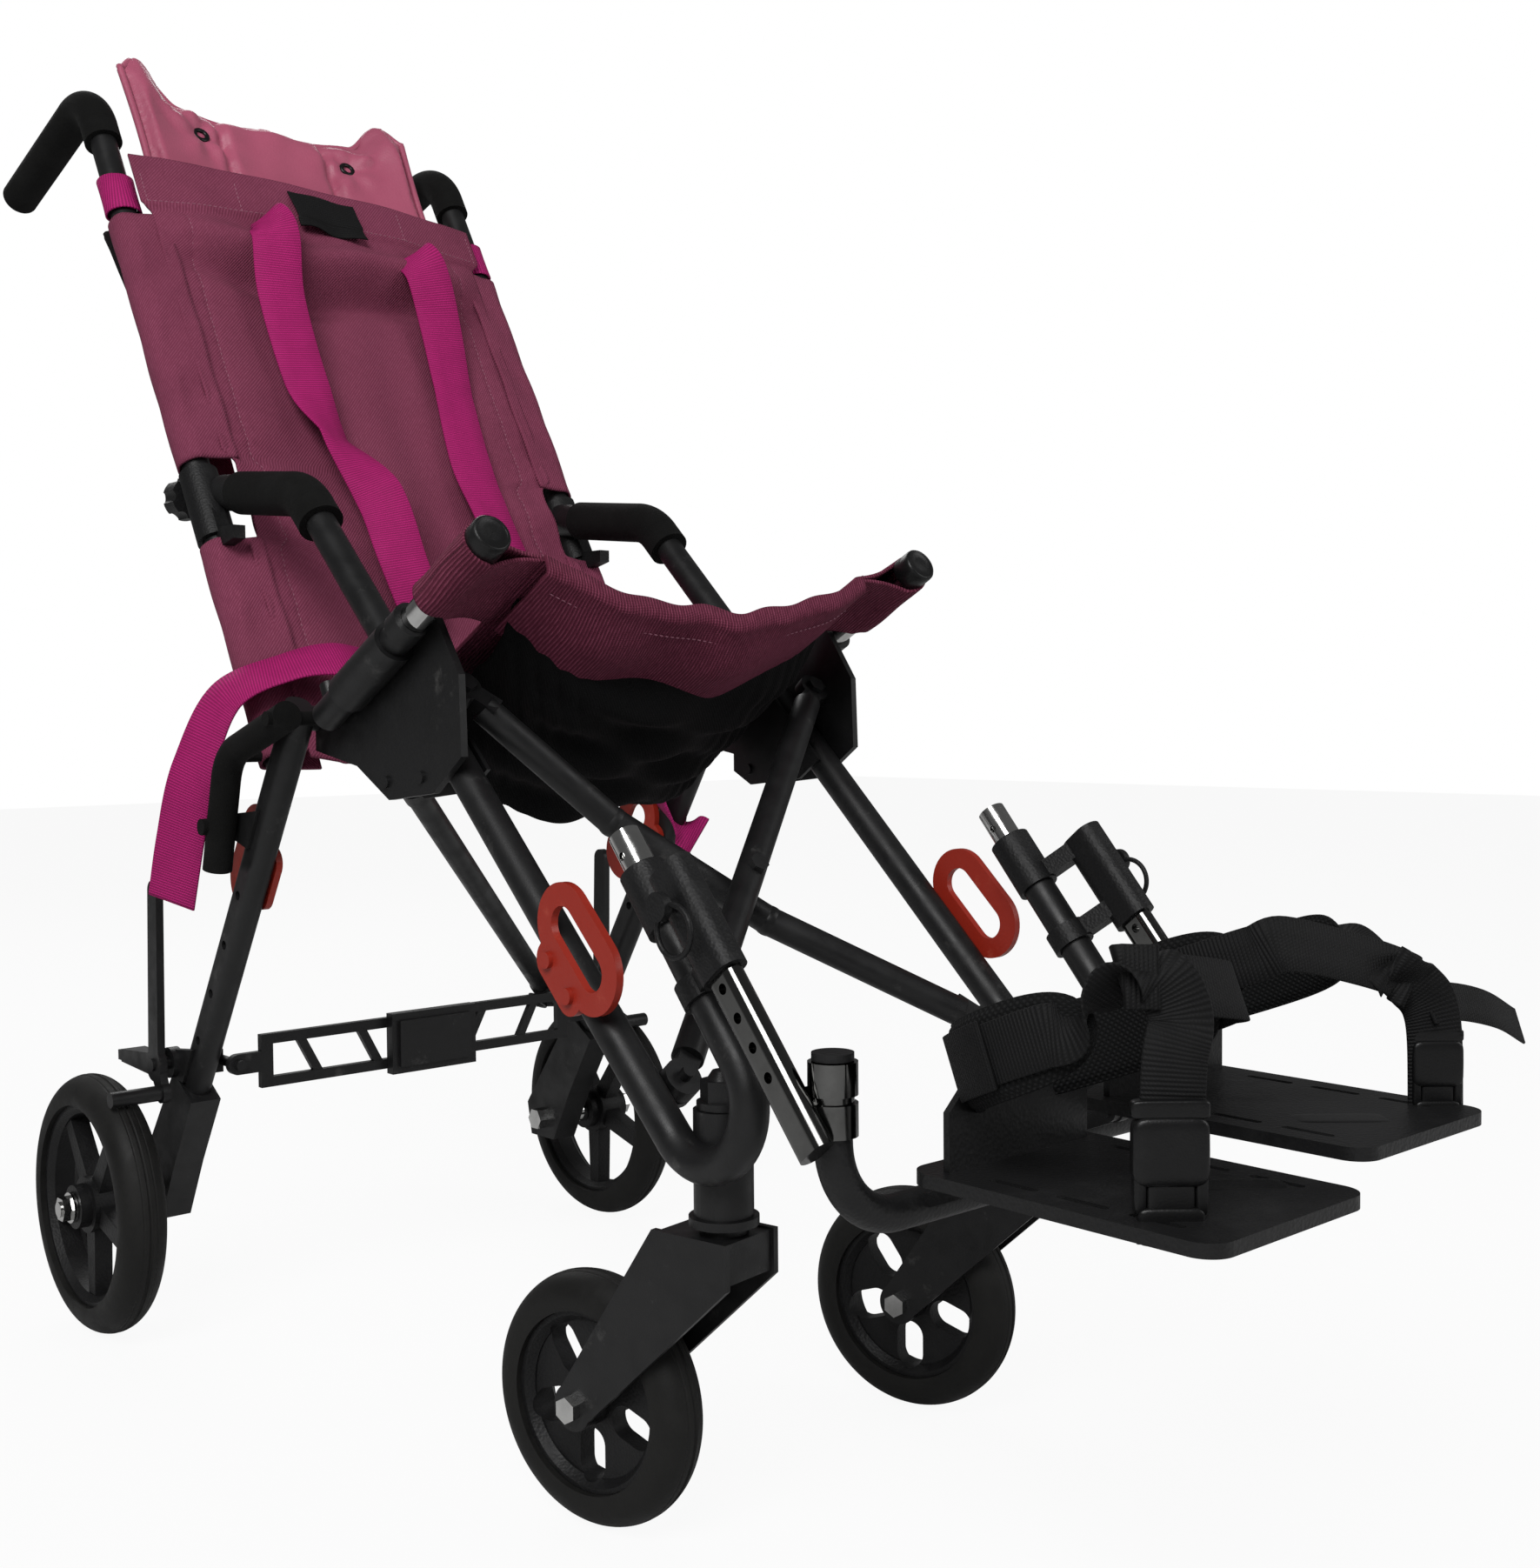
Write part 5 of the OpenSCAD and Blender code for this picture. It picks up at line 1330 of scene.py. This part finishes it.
@dataclass
class Headrest(SoftPiece):
    """The padded vinyl headrest: three sewn panels, pulled-up corners and two eyelets with gathers."""

    low: float = 0.500
    top: float = 0.660
    half: float = 0.141
    thick: float = 0.017
    seam: float = 0.37
    voxel: float = 0.0040  # cell size of the mesh that is swollen
    pressure: float = 4.0
    swell_cap: float = 0.006  # furthest that the air moves a point
    swell: float = 0.0055  # how far the air moves the cover under the eyelets
    piping_r: float = 0.0032
    eyelet_r: float = 0.0058
    eyelet_rim: float = 0.0022
    eyelets: tuple[tuple[float, float], ...] = ((-0.53, 0.76), (0.53, 0.76))

    def crest(self, u: Array) -> Array:
        """Height of the top edge: level in the middle, horned towards both corners, rounded at the ends.

        Args:
            u: sideways share, from -1 to 1.

        Returns:
            Distance up the posts.
        """
        side = np.abs(u)
        horn = 0.030 * smooth((side - 0.62) / 0.24) - 0.018 * smooth((side - 0.88) / 0.12)
        return self.top + horn - 0.008 * u * smooth((side - 0.5) / 0.4) + 0.003 * np.cos(9 * u) * (1 - side)

    def bow(self, u: Array, v: Array) -> Array:
        """Distance in front of the posts: bowed back in the middle, the corners tipped forward."""
        return -0.003 - 0.017 * (1 - u**2) + 0.006 * smooth((np.abs(u) - 0.7) / 0.3) * v

    def middle(self, u: Array, v: Array) -> tuple[Array, Array, Array]:
        """Middle surface: sideways, along and across distances."""
        x = u * self.half * (1 - 0.025 * np.sin(np.pi * v))
        return x, self.low + (self.crest(u) - self.low) * v, self.bow(u, v)

    def crown(self, u: Array, v: Array) -> Array:
        """Half thickness before it swells: full inside, thinner at the edges."""
        edge = np.clip(6 * np.minimum(v, 1 - v), 0, 1) * np.clip(9 * (1 - np.abs(u)), 0, 1)
        return self.thick / 2 * (0.55 + 0.45 * np.sqrt(edge))

    def build(self) -> None:
        """Makes the pad, its piping, seams and eyelets."""
        maker = MeshMaker("headrest_cover")
        rows, cols = 61, 121
        u, v = np.meshgrid(np.linspace(-1, 1, cols), np.linspace(0, 1, rows))
        x, a, b = self.middle(u, v)
        c = self.crown(u, v)
        front, back = BACK.place(x, a, b + c), BACK.place(x, a, b - c)
        ring = np.concatenate([front, back[:, ::-1]], axis=1)
        maker.grid(ring, None, wrap=True, caps=True)
        pad = maker.build(self.palette.pink)
        inflate(pad, self.voxel, self.pressure, self.swell_cap)
        self.sew_in(pad)
        level = pad.modifiers.new("smooth", "SUBSURF")
        level.levels = level.render_levels = 1
        self.keep(pad, "pink_vinyl", "headrest_pad")
        self.trim()

    def pinch(self, u: Array, v: Array) -> Array:
        """Share of the thickness left: nipped at the seams, drawn in and gathered at the eyelets.

        Args:
            u: sideways share, from -1 to 1.
            v: share of the height, from 0 to 1.

        Returns:
            The share, about 1 away from seams and eyelets.
        """
        left = 1 - 0.62 * bump(np.abs(u), self.seam, 0.030) * smooth((v - 0.02) / 0.2)
        for eu, ev in self.eyelets:
            r = np.hypot((u - eu) * self.half, (v - ev) * (self.top - self.low))
            turn = np.arctan2(v - ev, u - eu)
            left = left - 0.52 * bump(r, 0.0, 0.012) - 0.16 * np.cos(5 * turn + 0.7) * bump(r, 0.024, 0.016)
        broad = 0.10 * np.sin(9 * u + 4 * v) * np.sin(6 * v)
        fine = 0.07 * np.sin(21 * u - 6 * v) * smooth((v - 0.3) / 0.5)
        return np.clip(left + (broad + fine), 0.25, 1.3)

    def sew_in(self, pad: bpy.types.Object) -> None:
        """Draws the swollen pad in at its seams: each point's distance from the middle surface is scaled.

        Args:
            pad: the simulated pad.
        """
        p = positions(pad.data)
        a, b = BACK.measure(p)
        u = np.clip(p[:, 0] / self.half, -1, 1)
        v = np.clip((a - self.low) / (self.crest(u) - self.low), 0, 1)
        base = self.bow(u, v)
        pts = BACK.place(p[:, 0], a, base + (b - base) * self.pinch(u, v))
        pad.data.vertices.foreach_set("co", pts.ravel())
        pad.data.update()

    def trim(self) -> None:
        """Piping along the top and sides, and black eyelets."""
        piping = MeshMaker("headrest_piping")
        u = np.concatenate([np.full(60, -1.0), np.linspace(-1, 1, 122)[1:-1], np.full(60, 1.0)])
        v = np.concatenate([np.linspace(0.02, 1, 60), np.full(120, 1.0), np.linspace(1, 0.02, 60)])
        x, a, b = self.middle(u, v)
        tube(piping, BACK.place(x * 0.980, a - 0.0045 * v, b), self.piping_r, 8)
        self.keep(piping.build(self.palette.pink), "pink_vinyl")
        rings = MeshMaker("headrest_eyelets")
        p, q = np.meshgrid(turns(32), np.linspace(0, 2 * np.pi, 13))
        for eyelet in self.eyelets:
            at = [np.array(share) for share in eyelet]
            x, a, b = (float(n) for n in self.middle(*at))
            b += float((self.crown(*at) + self.swell) * self.pinch(*at))
            r = self.eyelet_r + self.eyelet_rim * np.cos(q)
            pts = BACK.place(x + r * np.cos(p), a + r * np.sin(p), b + 0.0024 + 0.0017 * np.sin(q))
            rings.grid(pts, wrap=True)
        self.keep(rings.build(self.palette.buckle), "black_plastic")


@dataclass
class Harness(SoftPiece):
    """Magenta straps: two over the shoulders, two at the waist, and a loop on each post."""

    hold: float = 0.156
    width: float = 0.040
    thick: float = 0.0022
    loop_r: float = 0.0136
    loop_at: float = 0.518
    loop_width: float = 0.036
    loop_thick: float = 0.0020

    def shoulder(self, maker: MeshMaker, route: Route, twist: Sequence[float]) -> None:
        """A strap that hangs down the front of the back.

        Args:
            maker: what the strap is added to.
            route: points as sideways, along the back, in front of it.
            twist: turn of the strap at each point, in degrees.
        """
        t = np.linspace(0, 1, 120)
        path = BACK.place(*spline(route, len(t)).T)
        a = np.radians(np.interp(t, np.linspace(0, 1, len(twist)), twist))
        side = np.cos(a)[:, None] * np.array([1.0, 0, 0]) + np.sin(a)[:, None] * BACK.normal
        gather = 0.28 + 0.72 * smooth(t / 0.15)
        ribbon(maker, path, side, self.width, self.thick, gather)

    def hang(self, maker: MeshMaker, route: Route, sides: Route) -> None:
        """A strap through points of the frame with a given sideways direction at each.

        Args:
            maker: what the strap is added to.
            route: points x, y from the rear axle, z.
            sides: sideways direction at each point.
        """
        path = spline(route, 90) + AXLE
        ribbon(maker, path, spline(sides, 90), self.width, self.thick)

    def build(self) -> None:
        """Makes the straps."""
        maker = MeshMaker("harness_webbing")
        near = [(-0.066, 0.494, 0.022), (-0.066, 0.486, 0.040), (-0.068, 0.458, 0.050),
                (-0.070, 0.405, 0.034), (-0.064, 0.320, 0.022), (-0.057, 0.268, 0.026),
                (-0.040, 0.205, 0.036), (-0.037, 0.140, 0.036), (-0.030, 0.090, 0.030)]
        self.shoulder(maker, near, (78, 60, 22, 10, 4, -28, 30, 14, 6))
        far = [(0.072, 0.478, 0.022), (0.072, 0.470, 0.044), (0.077, 0.446, 0.048), (0.084, 0.400, 0.032),
               (0.083, 0.336, 0.020), (0.075, 0.255, 0.020), (0.077, 0.200, 0.022), (0.082, 0.130, 0.022)]
        self.shoulder(maker, far, (70, 50, 18, 8, -4, 4, -4, 0))
        webbing = maker.build(self.palette.magenta)
        self.keep(webbing, "webbing", "harness_straps")
        route = [(-0.100, -0.190, 0.522), (-0.132, -0.190, 0.526), (-0.166, -0.180, 0.520),
                 (-0.204, -0.156, 0.498), (-0.222, -0.140, 0.446), (-0.224, -0.118, 0.392),
                 (-0.224, -0.100, 0.345)]
        sides = [(0.1, 0.8, 0.6), (0.1, 0.8, 0.6), (0.1, 0.9, 0.45), (-0.2, 1, 0.3), (-0.4, 0.9, 0.1),
                 (-0.5, 0.85, 0.0), (-0.5, 0.85, 0.0)]
        self.waist(Side.RIGHT, route, sides, 0.29)
        route = [(0.110, -0.192, 0.522), (0.132, -0.196, 0.500), (0.150, -0.197, 0.450),
                 (0.172, -0.194, 0.405), (0.188, -0.200, 0.384), (0.197, -0.214, 0.378)]
        sides = [(0.2, 0.3, 1), (0.5, 0.8, 0.2), (0.4, 0.9, 0.2),
                 (0.3, 0.9, 0.3), (0.2, 0.8, 0.6), (0.1, 0.7, 0.7)]
        self.waist(Side.LEFT, route, sides, 0.19)
        for side in Side:
            self.post_loop(side)

    def waist(self, side: Side, route: Route, sides: Route, length: float) -> None:
        """One waist strap, which stays with its side of the frame.

        Args:
            side: which strap.
            route: points x, y from the rear axle, z.
            sides: sideways direction at each point.
            length: its length in sight; not used.
        """
        maker = MeshMaker(f"{side.word}_waist_webbing")
        self.hang(maker, route, sides)
        strap = maker.build(self.palette.magenta)
        self.fix(strap, side, "webbing")

    def post_loop(self, side: Side) -> None:
        """A band of webbing round one post above the cloth.

        Args:
            side: which post.
        """
        maker = MeshMaker(f"{side.word}_post_loop")
        a = np.linspace(0.15, 2 * np.pi - 0.15, 60)
        x = side.value * (POST_X + self.loop_r * np.cos(a + np.pi))
        ring = BACK.place(x, self.loop_at + 0.003 * np.sin(a), self.loop_r * np.sin(a + np.pi))
        along = BACK.place(0.0, 1.0, 0.0) - BACK.place(0.0, 0.0, 0.0)
        ribbon(maker, ring, np.broadcast_to(along, ring.shape), self.loop_width, self.loop_thick)
        band = maker.build(self.palette.magenta)
        self.fix(band, side, "webbing")


@dataclass
class AnkleStrap:
    """A padded ankle strap on one footplate: a mesh band round the heel, webbing and a hanging buckle."""

    palette: Palette
    side: Side
    wide: float = 0.060
    deep: float = 0.068
    tilt: float = 22.0
    wing: float = 0.046
    thick: float = 0.010
    strap: float = 0.030
    weave: float = 0.0018
    plate_top: float = 0.007  # height of the plate's face above the bottom of its CAD box

    @property
    def axis(self) -> Array:
        """Direction across the band: up, leaning back."""
        a = math.radians(self.tilt)
        return np.array([0.0, math.sin(a), math.cos(a)])

    def centre(self) -> Array:
        """Middle of the band's loop, a little behind and above the middle of its CAD ring."""
        return middle(f"{self.side.word}_ankle_strap") + np.array([0.0, 0.016, 0.014])

    def ring(self, degrees: Array, out: float = 0.0) -> Array:
        """Points on the tilted oval of the band: 0 is outside, 90 the heel, 270 the front.

        Args:
            degrees: angles round the loop.
            out: distance outside the band's middle.

        Returns:
            The points.
        """
        a, t = np.radians(degrees), math.radians(self.tilt)
        x = self.side.value * (self.wide + out) * np.cos(a)
        r = (self.deep + out) * np.sin(a)
        return self.centre() + np.stack([x, r * math.cos(t), -r * math.sin(t)], axis=-1)

    def pad(self, maker: MeshMaker, path: Array) -> None:
        """A cushioned band: a lens section carried along the path, rounded off at both ends.

        Args:
            maker: what the band is added to.
            path: middle line of the band.
        """
        t = np.linspace(0, 1, len(path))
        tangent = unit(np.gradient(path, axis=0))
        side = np.broadcast_to(self.axis, path.shape)
        normal = np.cross(side, tangent)
        taper = np.sqrt(np.clip(1 - (2 * t - 1) ** 10, 0.02, 1))
        a = turns(36)
        across = signed_power(np.cos(a), 0.5)
        lift = signed_power(np.sin(a), 0.75) * (1 - 0.35 * bump(np.abs(np.cos(a)), 0.86, 0.08))
        w = self.wing / 2 * taper[:, None]
        h = self.thick / 2 * taper[:, None] * (1 + 0.10 * np.sin(40 * t)[:, None])
        wide = side[:, None] * (across * w)[..., None]
        high = normal[:, None] * (lift * h)[..., None]
        pts = path[:, None] + wide + high
        uv = pairs(across * self.wing / 2, run_length(path)[:, None])
        maker.grid(pts, uv, wrap=True, caps=True)

    def finish(self, obj: bpy.types.Object, slot: str, *nodes: str) -> None:
        """Fixes a finished piece to the footplate.

        Args:
            obj: the piece.
            slot: its material slot in the record; not used.
            nodes: CAD nodes that it stands for.
        """
        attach(obj, f"footplate_{self.side.word}")
        if nodes:
            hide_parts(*nodes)
        LOG.info("made %s", obj.name)

    def hang(self) -> tuple[Array, Array]:
        """Route of the webbing from the front of the loop down to the plate.

        Returns:
            The route's points, and the one where it meets the plate.
        """
        if self.side is Side.RIGHT:
            points = [(-0.118, -0.894, 0.360), (-0.110, -0.909, 0.361), (-0.104, -0.916, 0.343),
                      (-0.112, -0.918, 0.318), (-0.115, -0.918, 0.258)]
        else:
            points = [(0.100, -0.902, 0.344), (0.114, -0.913, 0.334), (0.126, -0.918, 0.314),
                      (0.130, -0.918, 0.272)]
        route = np.array(points) + AXLE
        plate = np.array(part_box(f"{self.side.word}_footplate")[0], float)[2] + self.plate_top
        route[-1, 2] = plate + 0.001
        return route, route[-1]

    def build(self) -> None:
        """Makes the band, webbing, tail and buckle."""
        word = self.side.word
        wings = MeshMaker(f"{word}_ankle_pad")
        self.pad(wings, self.ring(np.linspace(-38, 218, 90)))
        pad = wings.build(self.palette.mesh)
        self.finish(pad, "black_padding", f"{word}_ankle_strap")
        straps = MeshMaker(f"{word}_ankle_webbing")
        drop, base = self.hang()
        lift = self.thick / 2 + 0.0012
        outer = np.vstack([self.ring(np.linspace(70, -30, 9), lift), drop])
        line = spline(outer, 130)
        side = np.broadcast_to(self.axis, line.shape)
        fall = smooth(np.linspace(0, 1, 130) / 0.30 - 1.6)[:, None]
        ribbon(straps, line, side * (1 - fall) + fall * HANG_SIDE, self.strap, self.weave)
        inner = spline(np.vstack([self.ring(np.linspace(110, 236, 9), lift), drop[:2]]), 90)
        ribbon(straps, inner, np.broadcast_to(self.axis, inner.shape), self.strap, self.weave)
        patch = self.ring(np.linspace(8, 40, 24), lift + 0.0020)
        ribbon(straps, patch, np.broadcast_to(self.axis, patch.shape), 0.034, 0.0016)
        if self.side is Side.LEFT:
            points = [(0.124, -0.916, 0.322), (0.156, -0.916, 0.320), (0.190, -0.920, 0.312),
                      (0.232, -0.916, 0.297)]
            tail = spline(np.array(points) + AXLE, 50)
            ribbon(straps, tail, np.broadcast_to(np.array([0.1, 0.4, 0.9]), tail.shape), 0.022, self.weave)
        web = straps.build(self.palette.black_web)
        self.finish(web, "black_padding")
        self.buckle(base, 1.0 if self.side is Side.RIGHT else 0.8)

    def buckle(self, base: Array, size: float) -> None:
        """A side-release buckle on the webbing: slide, hollow half, waist, pronged half, and a loose clip.

        Args:
            base: where the webbing meets the plate.
            size: share of the full size.
        """
        clips = MeshMaker(f"{self.side.word}_ankle_buckle")
        up = np.array([0.0, 0.0, 1.0])
        axes = np.stack([HANG_SIDE, up, np.cross(HANG_SIDE, up)])
        parts = ((0.062, (0.036, 0.009, 0.008)), (0.043, (0.035, 0.032, 0.012)),
                 (0.0225, (0.022, 0.016, 0.009)), (0.009, (0.031, 0.018, 0.011)))
        for lift, box in parts:
            rounded_box(clips, base + up * (lift * size), axes, tuple(size * k for k in box), 6)
        for k in (-1, 1):
            prong = base + up * (0.0245 * size) + HANG_SIDE * (k * 0.0140 * size)
            rounded_box(clips, prong, axes, (0.006 * size, 0.022 * size, 0.009 * size), 4)
        near = np.array([-0.044, AXLE_Y - 0.905, base[2] + 0.0065])
        far = np.array([0.062, AXLE_Y - 0.900, base[2] + 0.0065])
        flat = np.stack([HANG_SIDE, np.cross(up, HANG_SIDE), up])
        rounded_box(clips, near if self.side is Side.RIGHT else far, flat, (0.056, 0.024, 0.012), 6)
        self.finish(clips.build(self.palette.buckle), "black_plastic")


class Studio:
    """Pale floor, white surround, soft lamps and the camera at the photograph's view."""

    eye: Array = np.array([-0.7798, -1.3869, 0.4816])
    turn: float = -42.089
    tilt: float = -2.223
    roll: float = -0.470
    focal_px: float = 2040.2
    image: tuple[int, int] = (1771, 1803)
    light_level: float = 0.24  # brightness of the surround as light
    gloss_level: float = 0.13  # brightness of the surround in reflections
    floor_half: float = 9.0
    floor_z: float = -0.0015
    floor_grey: Colour = (0.58, 0.58, 0.58)
    floor_glow: float = 0.93
    aim: Array = np.array([0.0, 0.0, 0.5])
    sensor: float = 36.0

    def build(self) -> None:
        """Makes the stage, lamps, surround and camera."""
        self.floor()
        self.surround()
        self.lamp("key", (-2.2, -1.6, 2.6), (1.9, 1.6), 112.0)
        self.lamp("fill", (1.9, -2.4, 1.7), (1.8, 1.8), 30.0)
        self.lamp("rim", (0.6, 2.6, 2.4), (2.2, 1.2), 36.0)
        self.camera()
        bpy.context.scene.view_settings.view_transform = "Standard"

    def floor(self) -> None:
        """A wide pale floor: nearly white to the camera, with a faint shadow of the object."""
        line = np.linspace(-self.floor_half, self.floor_half, 19)
        u, v = np.meshgrid(line, line)
        s = Shader("studio_floor")
        s.set(Base_Color=(*self.floor_grey, 1.0), Roughness=0.9)
        maker = MeshMaker("floor")
        maker.grid(np.stack([u, v, np.full_like(u, self.floor_z)], axis=-1))
        obj = maker.build(s.material)
        glow = s.tree.nodes.new("ShaderNodeEmission")
        glow.inputs["Color"].default_value = (1, 1, 1, 1)
        path = s.tree.nodes.new("ShaderNodeLightPath")
        blend = s.tree.nodes.new("ShaderNodeMixShader")
        share = s.math("MULTIPLY", path.outputs["Is Camera Ray"], self.floor_glow)
        s.tree.links.new(share, blend.inputs[0])
        s.tree.links.new(s.surface.outputs[0], blend.inputs[1])
        s.tree.links.new(glow.outputs[0], blend.inputs[2])
        s.tree.links.new(blend.outputs[0], s.tree.nodes["Material Output"].inputs["Surface"])

    def surround(self) -> None:
        """White to the camera, dim in reflections, a soft grey as light."""
        world = bpy.data.worlds.new("surround")
        world.use_nodes = True
        tree = world.node_tree
        back = tree.nodes["Background"]
        path = tree.nodes.new("ShaderNodeLightPath")
        seen = math_node(tree, "MAXIMUM", path.outputs["Is Camera Ray"], path.outputs["Is Transmission Ray"])
        dimmer = self.gloss_level - self.light_level
        gloss = math_node(tree, "MULTIPLY", path.outputs["Is Glossy Ray"], dimmer)
        white = math_node(tree, "MULTIPLY", seen, 1.0 - self.light_level)
        level = math_node(tree, "ADD", white, math_node(tree, "ADD", gloss, self.light_level))
        tree.links.new(level, back.inputs["Strength"])
        back.inputs["Color"].default_value = (1, 1, 1, 1)
        bpy.context.scene.world = world

    def lamp(self, name: str, place: Sequence[float], size: tuple[float, float], power: float) -> None:
        """One soft area lamp aimed at the seat.

        Args:
            name: the lamp's name.
            place: where it hangs.
            size: width and height.
            power: in watts.
        """
        data = bpy.data.lights.new(name, "AREA")
        data.shape = "RECTANGLE"
        data.size, data.size_y = size
        data.energy = power
        obj = bpy.data.objects.new(name, data)
        obj.location = place
        aim = self.aim - np.array(place)
        flat = math.hypot(aim[0], aim[1])
        obj.rotation_euler = (math.atan2(flat, -aim[2]), 0.0, math.atan2(aim[1], aim[0]) - math.pi / 2)
        bpy.context.scene.collection.objects.link(obj)

    def camera(self) -> None:
        """The view of the photograph: place, aim, roll and focal length in pixels of its frame."""
        data = bpy.data.cameras.new("view")
        data.sensor_fit = "HORIZONTAL"
        data.sensor_width = self.sensor
        data.lens = self.focal_px / self.image[0] * self.sensor
        data.clip_end = 60.0
        obj = bpy.data.objects.new("view", data)
        obj.location = self.eye + AXLE
        turn, tilt = math.radians(self.turn), math.radians(self.tilt)
        ahead = np.array([-math.sin(turn) * math.cos(tilt), math.cos(turn) * math.cos(tilt), math.sin(tilt)])
        right = np.array([math.cos(turn), math.sin(turn), 0.0])
        up = np.cross(right, ahead)
        a = math.radians(self.roll)
        right, up = right * math.cos(a) + up * math.sin(a), -right * math.sin(a) + up * math.cos(a)
        matrix = np.eye(4)
        matrix[:3, 0], matrix[:3, 1], matrix[:3, 2], matrix[:3, 3] = right, up, -ahead, obj.location
        obj.matrix_world = Matrix(matrix.tolist())
        bpy.context.scene.collection.objects.link(obj)
        bpy.context.scene.camera = obj


def main() -> None:
    """Builds every sub-assembly in order and reports each piece."""
    logging.basicConfig(level=logging.INFO, format="%(message)s")
    palette = Palette()
    palette.dress_frame()
    Studio().build()
    BackSling(palette).build()
    BackPouch(palette).build()
    SeatSling(palette).build()
    UnderSeat(palette).build()
    Headrest(palette).build()
    Harness(palette).build()
    for side in Side:
        AnkleStrap(palette, side).build()


if __name__ == "__main__":
    main()
